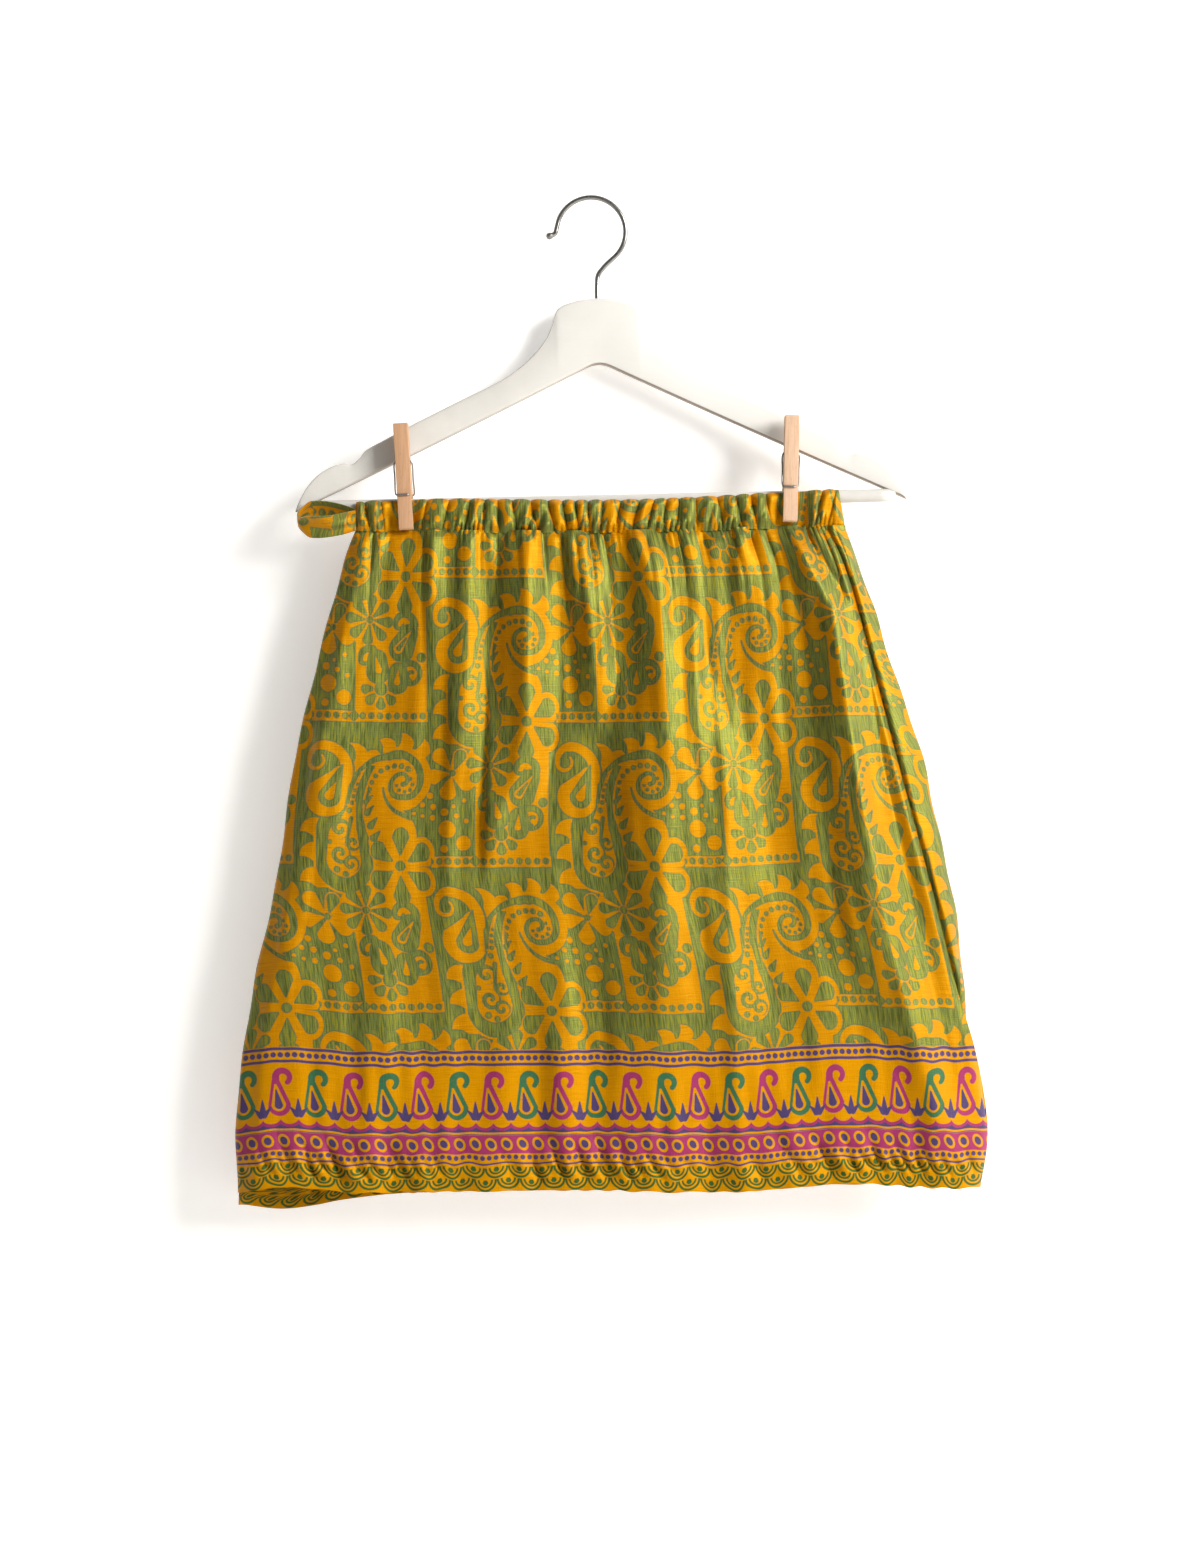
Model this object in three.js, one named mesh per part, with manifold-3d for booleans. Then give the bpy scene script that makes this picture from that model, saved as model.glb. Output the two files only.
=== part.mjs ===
// A gathered wrap skirt pegged to a plain wooden clothes hanger.
//
// Millimetres, +X to the right as the skirt is seen from its front, +Y towards the wall it hangs on,
// +Z up. The origin is the highest point inside the hook, where a rail or nail carries everything.

import * as THREE from "three";
import { mergeVertices } from "three/addons/utils/BufferGeometryUtils.js";
import Module from "manifold-3d";

// ---------------------------------------------------------------- driving dimensions

const gap = 0.3; // left between pieces that touch

// Hanger
const hangerHalfSpan = 225;
const hangerThickness = 10;
const hangerRoll = THREE.MathUtils.degToRad(1.2); // it hangs with its right end a little high
const neckX = 4.5;
const neckZ = -73.5;
const apexDrop = 46.8; // from the neck's top down to the inner corner
const armSlope = 0.485; // fall of the arm's underside for each millimetre outwards
const armSweep = 22; // how far the tips stand in front of the neck
const edgeChamfer = 1.6;
const barRadius = 4.9;
const barDrop = 152.5; // from the neck's top down to the bar's centre
const barHalfLength = 216;

// Hook
const wireRadius = 1.85;
const hookRadius = 25.6; // centre line
const stemDepth = 15; // how far the stem goes into the neck
const hookTipRadius = 2.7;

// Cloth
const clothWall = 1.2;
const barY = -armSweep;
const backBandY = barY - barRadius - 1.5 * gap - clothWall / 2;
const bandSpacing = 2.2; // front casing in front of back casing, middle to middle
const underlap = 62; // how far the under layer goes on behind the over panel's edge
const layerLift = 2.4; // over panel in front of the layer below it, middle to middle
const jawDraw = 2.6; // how far a peg's jaws draw the cloth back under the bar

// Clothes pegs
const pegWidth = 10.5;
const pegOpening = THREE.MathUtils.degToRad(6); // each leg is turned this far from closed
const pegLean = THREE.MathUtils.degToRad(3);
const pegAboveBar = 31.4; // the spring's axis above the bar's centre
const pegAxisY = barY - 2.4; // the peg's middle plane at the bar
const pegHold = 7.5; // the jaws press the cloth flat this far out from a peg's middle
const pegFade = 19; // and not at all beyond this
const springWire = 0.6; // radius
const coilRadius = 2.9;

// Every height of the skirt below the waist seam: its two side folds, the edge of the over panel, how
// far forward the front, the side folds and the back lie, and how far in from a side the turn reaches.
const skirtRows = [
  { z: -247, left: -172, right: 190, edge: 173, front: -31, side: -29.3, back: -27.6, turn: 2.5 },
  { z: -270, left: -180.5, right: 198, edge: 183, front: -35, side: -29.5, back: -24.5, turn: 8 },
  { z: -300, left: -188, right: 205, edge: 193, front: -39, side: -30, back: -21.5, turn: 16 },
  { z: -345, left: -200, right: 220, edge: 205, front: -43, side: -30.5, back: -18.5, turn: 26 },
  { z: -400, left: -213.5, right: 238, edge: 219, front: -46, side: -31, back: -16.5, turn: 36 },
  { z: -450, left: -221.5, right: 251, edge: 232, front: -48, side: -31, back: -15, turn: 44 },
  { z: -520, left: -233, right: 265, edge: 251, front: -50, side: -31.5, back: -14, turn: 54 },
  { z: -580, left: -246, right: 275, edge: 266, front: -51, side: -32, back: -13.5, turn: 60 },
  { z: -630, left: -254.5, right: 281.5, edge: 281, front: -52, side: -32, back: -13, turn: 64 },
  { z: -685, left: -259, right: 290, edge: 290, front: -52.5, side: -32, back: -13, turn: 68 },
  { z: -750, left: -258.5, right: 281, edge: 281, front: -53, side: -32, back: -13, turn: 70 },
];

// Along the skirt: the top of the waistband, its lower seam, and the front and back hems.
const lengthRows = [
  { x: -260, top: -228.5, seam: -247.2, frontHem: -733, backHem: -742 },
  { x: -225, top: -228.5, seam: -247.2, frontHem: -727, backHem: -747 },
  { x: -172, top: -227.5, seam: -247.5, frontHem: -731, backHem: -739 },
  { x: -100, top: -225.2, seam: -248.6, frontHem: -730.3, backHem: -734 },
  { x: 5, top: -226.4, seam: -249, frontHem: -729.3, backHem: -732 },
  { x: 100, top: -222.8, seam: -246.8, frontHem: -730.3, backHem: -732 },
  { x: 188, top: -218, seam: -243.8, frontHem: -724.5, backHem: -728 },
  { x: 240, top: -218, seam: -243.8, frontHem: -727, backHem: -729 },
  { x: 292, top: -218, seam: -243.8, frontHem: -728.5, backHem: -731 },
];

// Soft folds: where each lies at the seam and at the hem, its half width at both, its height as a
// share of the cloth's own depth there (minus for a trough), and where down the skirt it starts and ends.
const frontFolds = [
  { seamX: -124, hemX: -132, seamWidth: 9, hemWidth: 16, rise: -0.36, start: 0.0, end: 0.42 },
  { seamX: -96, hemX: -150, seamWidth: 13, hemWidth: 30, rise: 0.22, start: 0.02, end: 1.1 },
  { seamX: -55, hemX: -72, seamWidth: 9, hemWidth: 20, rise: -0.4, start: 0.0, end: 0.55 },
  { seamX: -33, hemX: -45, seamWidth: 12, hemWidth: 34, rise: 0.24, start: 0.0, end: 1.1 },
  { seamX: -9, hemX: -6, seamWidth: 8, hemWidth: 16, rise: -0.3, start: 0.0, end: 0.4 },
  { seamX: 26, hemX: 48, seamWidth: 17, hemWidth: 32, rise: -0.4, start: 0.02, end: 0.9 },
  { seamX: 70, hemX: 104, seamWidth: 12, hemWidth: 30, rise: 0.16, start: 0.0, end: 1.1 },
  { seamX: 109, hemX: 150, seamWidth: 13, hemWidth: 30, rise: 0.24, start: 0.02, end: 1.1 },
  { seamX: 152, hemX: 240, seamWidth: 10, hemWidth: 24, rise: -0.34, start: 0.0, end: 1.0 },
];
const backFolds = [
  { seamX: -130, hemX: -178, seamWidth: 12, hemWidth: 30, rise: -0.3, start: 0.0, end: 0.8 },
  { seamX: -78, hemX: -104, seamWidth: 14, hemWidth: 34, rise: 0.22, start: 0.0, end: 1.1 },
  { seamX: -28, hemX: -30, seamWidth: 10, hemWidth: 26, rise: -0.36, start: 0.0, end: 0.6 },
  { seamX: 22, hemX: 40, seamWidth: 14, hemWidth: 32, rise: 0.2, start: 0.0, end: 1.1 },
  { seamX: 72, hemX: 110, seamWidth: 11, hemWidth: 28, rise: -0.32, start: 0.02, end: 0.9 },
  { seamX: 128, hemX: 190, seamWidth: 14, hemWidth: 30, rise: 0.22, start: 0.0, end: 1.1 },
];

// The hanger's upper edge, outwards from the neck: domed neck, hollow shoulder, straight arm, strap
// notch and rounded tip.
const hangerEdge = [
  { out: 0, top: 0 },
  { out: 10, top: -0.8 },
  { out: 20, top: -3 },
  { out: 27.5, top: -6 },
  { out: 31, top: -10 },
  { out: 33.5, top: -18.5 },
  { out: 39, top: -30 },
  { out: 48, top: -41 },
  { out: 60, top: -51.5 },
  { out: 75, top: -61 },
  { out: 105, top: -75.5 },
  { out: 135, top: -90.3 },
  { out: 162, top: -104.6 },
  { out: 173, top: -110.8 },
  { out: 178, top: -116.8 },
  { out: 183.5, top: -121 },
  { out: 189, top: -120.2 },
  { out: 198.5, top: -122.9 },
  { out: 208.5, top: -129.2 },
  { out: 216.5, top: -138.3 },
  { out: 222, top: -148 },
  { out: hangerHalfSpan, top: -155 },
];

const pegPlaces = [
  { name: "left", x: -137.9, tilt: THREE.MathUtils.degToRad(-3.3) },
  { name: "right", x: 146.9, tilt: THREE.MathUtils.degToRad(1.3) },
];

// ---------------------------------------------------------------- materials

const silk = new THREE.MeshStandardMaterial({ color: 0x9c9a2e, roughness: 0.45, side: THREE.DoubleSide });
const whitePaint = new THREE.MeshStandardMaterial({ color: 0xe9e6de, roughness: 0.5 });
const steel = new THREE.MeshStandardMaterial({ color: 0xb9b7b2, roughness: 0.22, metalness: 1 });
const pegWood = new THREE.MeshStandardMaterial({ color: 0xd8ab82, roughness: 0.7 });

// ---------------------------------------------------------------- helpers

const wasm = await Module();
wasm.setup();

// Smooth value of one column of a table at a place along its key column (Catmull-Rom, uneven steps).
function column(rows, key, name, at) {
  const order = Math.sign(rows[1][key] - rows[0][key]);
  let i = 0;
  while (i < rows.length - 2 && (at - rows[i + 1][key]) * order > 0) i++;
  const slope = (j) => {
    const a = rows[Math.max(j - 1, 0)];
    const b = rows[Math.min(j + 1, rows.length - 1)];
    return (b[name] - a[name]) / (b[key] - a[key]);
  };
  const step = rows[i + 1][key] - rows[i][key];
  const t = THREE.MathUtils.clamp((at - rows[i][key]) / step, 0, 1);
  const rise = t * t * (3 - 2 * t);
  return (
    (1 - rise) * rows[i][name] +
    rise * rows[i + 1][name] +
    t * (1 - t) ** 2 * step * slope(i) -
    t ** 2 * (1 - t) * step * slope(i + 1)
  );
}

const skirt = (name, z) => column(skirtRows, "z", name, z);
const lengthwise = (name, x) => column(lengthRows, "x", name, x);
const blend = THREE.MathUtils.lerp;

// Soft step from 0 at one place to 1 at another, whichever of the two is larger.
function soft(from, to, at) {
  const t = THREE.MathUtils.clamp((at - from) / (to - from), 0, 1);
  return t * t * (3 - 2 * t);
}

function named(name, geometry, material) {
  const mesh = new THREE.Mesh(geometry, material);
  mesh.name = name;
  return mesh;
}

// A closed body from rings of points: each ring has the same count, and both ends are capped.
function loft(rings) {
  const count = rings[0].length;
  const positions = rings.flat().flatMap((p) => [p.x, p.y, p.z]);
  const faces = [];
  for (let i = 0; i + 1 < rings.length; i++) {
    for (let j = 0; j < count; j++) {
      const a = i * count + j;
      const b = i * count + ((j + 1) % count);
      faces.push(a, b, a + count, b, b + count, a + count);
    }
  }
  const last = (rings.length - 1) * count;
  for (let j = 1; j + 1 < count; j++) {
    faces.push(0, j + 1, j);
    faces.push(last, last + j, last + j + 1);
  }
  const geometry = new THREE.BufferGeometry();
  geometry.setAttribute("position", new THREE.Float32BufferAttribute(positions, 3));
  geometry.setIndex(faces);
  return geometry;
}

// Cloth: a wall of even thickness on both sides of a surface, with its four edges closed.
function wall(surface, across, down, thickness = clothWall) {
  const small = 1e-3;
  const sides = [[], []];
  for (let j = 0; j <= down; j++) {
    for (let i = 0; i <= across; i++) {
      const u = i / across;
      const v = j / down;
      const alongU = surface(Math.min(u + small, 1), v).sub(surface(Math.max(u - small, 0), v));
      const alongV = surface(u, Math.min(v + small, 1)).sub(surface(u, Math.max(v - small, 0)));
      const normal = alongU.cross(alongV).normalize();
      sides[0].push(surface(u, v).addScaledVector(normal, thickness / 2));
      sides[1].push(surface(u, v).addScaledVector(normal, -thickness / 2));
    }
  }
  const row = across + 1;
  const back = sides[0].length;
  const faces = [];
  const quad = (a, b, c, d) => faces.push(a, b, c, a, c, d);
  for (let j = 0; j < down; j++) {
    for (let i = 0; i < across; i++) {
      const a = j * row + i;
      quad(a, a + 1, a + row + 1, a + row);
      quad(back + a, back + a + row, back + a + row + 1, back + a + 1);
    }
  }
  for (let i = 0; i < across; i++) {
    const low = down * row + i;
    quad(i, back + i, back + i + 1, i + 1);
    quad(low, low + 1, back + low + 1, back + low);
  }
  for (let j = 0; j < down; j++) {
    const a = j * row;
    const b = a + across;
    quad(a, a + row, back + a + row, back + a);
    quad(b, back + b, back + b + row, b + row);
  }
  const positions = sides.flat().flatMap((p) => [p.x, p.y, p.z]);
  const geometry = new THREE.BufferGeometry();
  geometry.setAttribute("position", new THREE.Float32BufferAttribute(positions, 3));
  geometry.setIndex(faces);
  return geometry;
}

function toSolid(geometry) {
  const bare = geometry.clone();
  bare.deleteAttribute("normal");
  bare.deleteAttribute("uv");
  const merged = mergeVertices(bare, 1e-4);
  return new wasm.Manifold(
    new wasm.Mesh({
      numProp: 3,
      vertProperties: new Float32Array(merged.attributes.position.array),
      triVerts: new Uint32Array(merged.index.array),
    }),
  );
}

function fromSolid(solid) {
  const mesh = solid.getMesh();
  const geometry = new THREE.BufferGeometry();
  geometry.setAttribute("position", new THREE.Float32BufferAttribute(mesh.vertProperties, 3));
  geometry.setIndex(new THREE.Uint32BufferAttribute(mesh.triVerts, 1));
  return geometry;
}

// A round wire along a curve.
function wire(curve, radius, steps, facets) {
  const section = new THREE.Shape();
  for (let i = 0; i < facets; i++) {
    const angle = (2 * Math.PI * i) / facets;
    const point = [radius * Math.cos(angle), radius * Math.sin(angle)];
    if (i === 0) section.moveTo(...point);
    else section.lineTo(...point);
  }
  section.closePath();
  return new THREE.ExtrudeGeometry(section, { steps, extrudePath: curve });
}

// ---------------------------------------------------------------- hanger

const sweepAt = (out) => -armSweep * (out / hangerHalfSpan) ** 2;

// Eight-sided section of the hanger at a distance out from its middle, in the neck's own frame.
function hangerSection(x, top) {
  const out = Math.abs(x);
  const bottom = -apexDrop - armSlope * out;
  const cut = Math.min(edgeChamfer, (top - bottom) / 3);
  const half = hangerThickness / 2;
  const corners = [
    [-half, bottom + cut],
    [-half + cut, bottom],
    [half - cut, bottom],
    [half, bottom + cut],
    [half, top - cut],
    [half - cut, top],
    [-half + cut, top],
    [-half, top - cut],
  ];
  return corners.map(([y, z]) => new THREE.Vector3(x, y + sweepAt(out), z));
}

function hangerWood() {
  const right = hangerEdge.map((row) => hangerSection(row.out, row.top));
  const left = hangerEdge.slice(1).map((row) => hangerSection(-row.out, row.top)).reverse();
  const boreRadius = wireRadius + 2 * gap;
  const bore = new THREE.CylinderGeometry(boreRadius, boreRadius, 2 * (stemDepth + gap), 12);
  bore.rotateX(Math.PI / 2);
  return fromSolid(toSolid(loft([...left, ...right])).subtract(toSolid(bore)));
}

// The bar's ends are cut to the slope of the arms that hold it.
function hangerBar() {
  const bar = new THREE.CylinderGeometry(barRadius, barRadius, 2 * barHalfLength, 16);
  bar.rotateZ(Math.PI / 2);
  const position = bar.attributes.position;
  for (let i = 0; i < position.count; i++) {
    const belowNeck = barDrop - position.getZ(i);
    const reach = Math.min(barHalfLength, (belowNeck - apexDrop) / armSlope - 2 * gap);
    position.setX(i, Math.sign(position.getX(i)) * reach);
  }
  bar.translate(0, barY, -barDrop);
  return bar;
}

// The hook: a stem out of the neck, a slanting shoulder, most of a circle and a tip turned outwards.
function hookWire() {
  const centre = new THREE.Vector3(0, 0, -hookRadius + wireRadius);
  const onCircle = (degrees) => {
    const angle = THREE.MathUtils.degToRad(degrees);
    return new THREE.Vector3(Math.cos(angle), 0, Math.sin(angle)).multiplyScalar(hookRadius).add(centre);
  };
  const points = [
    new THREE.Vector3(neckX, 0, neckZ - stemDepth + gap),
    new THREE.Vector3(neckX, 0, neckZ - stemDepth / 2),
    new THREE.Vector3(neckX, 0, neckZ + 1),
    new THREE.Vector3(neckX, 0, neckZ + 10),
    new THREE.Vector3(neckX + 0.8, 0, neckZ + 17.5),
    new THREE.Vector3(neckX + 5.5, 0, neckZ + 24),
  ];
  for (let degrees = -38; degrees <= 172; degrees += 15) points.push(onCircle(degrees));
  points.push(new THREE.Vector3(-hookRadius - 1.2, 0, centre.z - 1.2));
  points.push(new THREE.Vector3(-hookRadius - 5.5, 0, centre.z - 3.2));
  const curve = new THREE.CatmullRomCurve3(points, false, "centripetal");
  const body = toSolid(wire(curve, wireRadius, 46, 8));
  const tip = new THREE.SphereGeometry(hookTipRadius, 10, 6);
  tip.translate(points.at(-1).x, 0, points.at(-1).z);
  return fromSolid(body.add(toSolid(tip)));
}

// ---------------------------------------------------------------- clothes pegs

// One leg seen from the side, jaw down: x is the distance from the peg's middle plane, y the height
// above the spring's axis. The leg is drawn closed and then turned by the opening.
function pegLegShape() {
  const leg = new THREE.Shape();
  leg.moveTo(2.6, -50.7);
  leg.lineTo(6, -50.7);
  leg.lineTo(7, -49.6);
  leg.absarc(7.9, -25.2, 1.4, THREE.MathUtils.degToRad(-120), THREE.MathUtils.degToRad(120), true);
  leg.lineTo(7.3, 0);
  leg.lineTo(10, 26);
  leg.lineTo(9, 27.5);
  leg.lineTo(6.8, 27.5);
  leg.lineTo(5.9, 26.5);
  leg.lineTo(2.2, 6);
  leg.absarc(0, 0, coilRadius + springWire + 0.5, THREE.MathUtils.degToRad(72), THREE.MathUtils.degToRad(-78), true);
  leg.lineTo(0.4, -6);
  leg.lineTo(0.4, -pegAboveBar + 7.6);
  leg.lineTo(2.4, -pegAboveBar + 6);
  leg.lineTo(4.4, -pegAboveBar + 3);
  leg.lineTo(4.4, -pegAboveBar - 4);
  leg.lineTo(3.2, -pegAboveBar - 7.5);
  leg.lineTo(1.8, -pegAboveBar - 9.5);
  leg.lineTo(1.8, -49.8);
  leg.closePath();
  return leg;
}

// side is -1 for the leg in front and 1 for the leg behind.
function pegLeg(side) {
  const leg = new THREE.ExtrudeGeometry(pegLegShape(), { depth: pegWidth, bevelEnabled: false, curveSegments: 5 });
  leg.translate(0, 0, -pegWidth / 2);
  leg.rotateZ(pegOpening);
  // From the shape's plane to the peg's: distance to Y, height to Z, width to X.
  leg.applyMatrix4(new THREE.Matrix4().set(0, 0, 1, 0, 1, 0, 0, 0, 0, 1, 0, 0, 0, 0, 0, 1));
  if (side < 0) leg.rotateZ(Math.PI);
  return leg;
}

// The spring: a coil across the peg, whose ends come down each side and grip the legs' outer grooves.
function pegSpring() {
  const turns = 3.5;
  const coilHalfWidth = 3.3;
  const sideX = pegWidth / 2 + gap + springWire + 0.2;
  const arm = (side) => {
    const place = (x, away, height) => {
      const y = away * Math.cos(pegOpening) - height * Math.sin(pegOpening);
      const z = away * Math.sin(pegOpening) + height * Math.cos(pegOpening);
      return new THREE.Vector3(x * side, y * side, z);
    };
    return [
      place(coilHalfWidth + 1.6, 2.8, 0.6),
      place(sideX, 3, -1.5),
      place(sideX, 4.4, -12),
      place(sideX, 6.9, -23),
      place(sideX - 0.6, 7.9, -25),
      place(sideX - 3, 8.2, -25.2),
      place(-3.6, 8.2, -25.2),
    ];
  };
  const coil = [];
  const stepsInTurn = 8;
  for (let i = 0; i <= turns * stepsInTurn; i++) {
    const angle = (2 * Math.PI * i) / stepsInTurn;
    const x = blend(-coilHalfWidth, coilHalfWidth, i / (turns * stepsInTurn));
    coil.push(new THREE.Vector3(x, -coilRadius * Math.cos(angle), coilRadius * Math.sin(angle)));
  }
  const points = [...arm(-1).reverse(), ...coil, ...arm(1)];
  return wire(new THREE.CatmullRomCurve3(points, false, "centripetal"), springWire, 80, 5);
}

function peg({ name, x, tilt }) {
  const group = new THREE.Group();
  const barZ = neckZ - barDrop + Math.tan(hangerRoll) * (x - neckX);
  group.position.set(x, pegAxisY - pegAboveBar * Math.sin(pegLean), barZ + pegAboveBar);
  group.rotation.set(pegLean, tilt, 0);
  group.add(named(`peg_${name}_front_leg`, pegLeg(-1), pegWood));
  group.add(named(`peg_${name}_back_leg`, pegLeg(1), pegWood));
  group.add(named(`peg_${name}_spring`, pegSpring(), steel));
  return group;
}

// ---------------------------------------------------------------- skirt

// How hard the pegs press the cloth at this place along the waist, 0 to 1.
function pressed(x) {
  const away = Math.min(...pegPlaces.map((place) => Math.abs(x - place.x)));
  return 1 - soft(pegHold, pegFade, away);
}

// Uneven gathers of the waistband, 0 to 1.
function gather(x) {
  const phase = x / 12.4 + 0.55 * Math.sin(x / 31) + 0.3 * Math.sin(x / 12.7 + 1);
  return (0.5 + 0.5 * Math.sin(2 * Math.PI * phase)) * (0.75 + 0.25 * Math.sin(x / 19 + 2));
}

// Below the bar a peg's jaws draw both casings back.
function drawnBack(x, z) {
  const barZ = neckZ - barDrop + Math.tan(hangerRoll) * (x - neckX);
  return jawDraw * pressed(x) * soft(barZ - 2, barZ - 11, z);
}

function waistband(y, fullness, outermost) {
  return (u, v) => {
    const x = blend(skirtRows[0].left + outermost, skirtRows[0].right - 5 - outermost, u);
    const z = blend(lengthwise("top", x), lengthwise("seam", x), v);
    const pinch = 0.8 + 0.2 * Math.cos(2 * Math.PI * v);
    const free = soft(0, 0.02, u) * soft(1, 0.98, u) * (1 - pressed(x));
    return new THREE.Vector3(x, y - fullness * gather(x) * pinch * free + drawnBack(x, z), z);
  };
}

// Sum of the folds that cross a place on a panel.
function foldRise(folds, x, v) {
  return folds.reduce((sum, fold) => {
    const middle = blend(fold.seamX, fold.hemX, v);
    const width = blend(fold.seamWidth, fold.hemWidth, v);
    const along = soft(fold.start - 0.02, fold.start + 0.14, v) * soft(fold.end, fold.end - 0.3, v);
    return sum + fold.rise * along * Math.exp(-(((x - middle) / width) ** 2));
  }, 0);
}

// Flattened section: 1 across most of the skirt, rounding down to 0 at the side folds.
function roundSides(x, z, left, right) {
  const inwards = Math.min(x - left, right - x) / skirt("turn", z);
  return (1 - (1 - THREE.MathUtils.clamp(inwards, 0, 1)) ** 2.2) ** (1 / 2.2);
}

// Distance of the front or back cloth from the wall, at a place across and down the skirt.
function clothY(face, folds, x, z, v, left, right) {
  const side = skirt("side", z);
  const depth = (skirt(face, z) - side) * roundSides(x, z, left, right);
  const underPeg = jawDraw * pressed(x) * (1 - soft(0, 0.05, v));
  return side + depth * (1 + foldRise(folds, x, v)) + underPeg;
}

// Near the hem the over panel reaches the side fold, and the layer below turns inside it.
const tuckedIn = (z) => 4 * soft(-545, -612, z);

const spread = (u) => 0.4 * u + 0.3 * (1 - Math.cos(Math.PI * u)); // closer columns near the sides

function frontPanel(u, v) {
  let x = 0;
  let z = blend(-248, -730, v);
  for (let pass = 0; pass < 3; pass++) {
    x = blend(skirt("left", z), skirt("edge", z), spread(u));
    z = blend(lengthwise("seam", x) - 1.5 * gap, lengthwise("frontHem", x), v);
  }
  const left = skirt("left", z);
  const lift = layerLift * soft(0.45, 0.7, u);
  const y = clothY("front", frontFolds, x, z, v, left, skirt("right", z));
  return new THREE.Vector3(x, y - lift - 0.7 * gap, z);
}

// The back goes from the left side fold round the right one, and on behind the over panel.
function backPanel(u, v) {
  const turn = 0.8; // share of the panel's columns that lie on the back
  const behind = u <= turn;
  let x = 0;
  let z = blend(-248, -730, v);
  for (let pass = 0; pass < 3; pass++) {
    const right = skirt("right", z) - tuckedIn(z);
    if (behind) x = blend(skirt("left", z), right, spread(u / turn));
    else x = blend(right, skirt("edge", z) - underlap, 1 - Math.cos((Math.PI / 2) * ((u - turn) / (1 - turn))));
    const hem = behind ? lengthwise("backHem", x) : lengthwise("frontHem", x) + 4;
    const turned = behind ? soft(0.86, 1, u / turn) : 0;
    z = blend(lengthwise("seam", x) - 1.5 * gap, blend(hem, lengthwise("frontHem", x) + 4, turned), v);
  }
  const left = skirt("left", z);
  const right = skirt("right", z) - tuckedIn(z);
  const face = behind ? "back" : "front";
  const y = clothY(face, behind ? backFolds : frontFolds, x, z, v, left, right);
  return new THREE.Vector3(x, y + (behind ? 0.7 * gap * soft(0.5, 0, u / turn) : 0), z);
}

// The tie's loop: a flat band sewn to the waistband's left end, its hole leaning towards the front.
function tieLoop(u, v) {
  const width = 15;
  const reach = 41;
  const depth = 21;
  const angle = 0.94 * Math.PI * (2 * u - 1);
  const open = Math.cos(angle / 2) ** 0.7; // 0 at the sewn ends, 1 at the far end of the loop
  const lean = THREE.MathUtils.degToRad(12 + 28 * open);
  const inPlane = (depth / 2) * Math.sin(angle) * (0.35 + 0.65 * open);
  const across = (v - 0.5) * width * (0.72 + 0.28 * open);
  const x = skirtRows[0].left - gap - (reach / 2) * (1 + Math.cos(angle));
  const y = backBandY - bandSpacing - 2 - 5.5 * open + inPlane * Math.cos(lean) + across * Math.sin(lean);
  const z = -240.5 + inPlane * Math.sin(lean) - across * Math.cos(lean);
  return new THREE.Vector3(x, y, z);
}

// ---------------------------------------------------------------- the whole object

const hanger = new THREE.Group();
hanger.position.set(neckX, 0, neckZ);
hanger.rotation.y = -hangerRoll;
hanger.add(named("hanger_wood", hangerWood(), whitePaint));
hanger.add(named("hanger_bar", hangerBar(), whitePaint));

const garment = new THREE.Group();
garment.add(named("front_panel", wall(frontPanel, 48, 16), silk));
garment.add(named("back_panel", wall(backPanel, 54, 14), silk));
garment.add(named("waistband_front", wall(waistband(backBandY - bandSpacing, 3, 0), 96, 4), silk));
garment.add(named("waistband_back", wall(waistband(backBandY, 0.2, 1.5), 60, 3), silk));
garment.add(named("tie_loop", wall(tieLoop, 30, 2), silk));

const part = new THREE.Group();
part.add(named("hook", hookWire(), steel));
part.add(hanger, garment, ...pegPlaces.map(peg));

export default part;
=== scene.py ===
"""A gathered wrap skirt in printed silk, pegged to a white wooden clothes hanger.

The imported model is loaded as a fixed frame. The cloth is rebuilt on the forms of its solids as
dense thin shells with folds and gathers, and carries its own cloth coordinates, from which the
printed pattern is worked out in shader nodes. Lengths are millimetres in the tables, the shapes and
the print, and metres in the lights and the camera.
"""

import math
from functools import partialmethod, reduce

import bmesh
import bpy
import numpy as np
from mathutils import Matrix, Vector


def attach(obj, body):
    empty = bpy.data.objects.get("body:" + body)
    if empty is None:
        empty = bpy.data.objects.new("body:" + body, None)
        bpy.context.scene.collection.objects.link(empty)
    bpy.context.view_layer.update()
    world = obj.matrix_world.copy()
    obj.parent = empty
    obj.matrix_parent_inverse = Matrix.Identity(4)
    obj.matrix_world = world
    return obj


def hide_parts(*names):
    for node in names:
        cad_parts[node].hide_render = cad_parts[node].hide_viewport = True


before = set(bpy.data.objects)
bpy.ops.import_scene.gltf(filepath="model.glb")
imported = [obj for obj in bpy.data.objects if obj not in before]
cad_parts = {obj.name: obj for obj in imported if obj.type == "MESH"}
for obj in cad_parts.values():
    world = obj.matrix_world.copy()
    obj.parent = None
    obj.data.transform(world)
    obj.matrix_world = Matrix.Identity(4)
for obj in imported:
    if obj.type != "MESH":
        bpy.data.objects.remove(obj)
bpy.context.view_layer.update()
MM = 0.001

# ---------------------------------------------------------------- sizes shared with the CAD source

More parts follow.
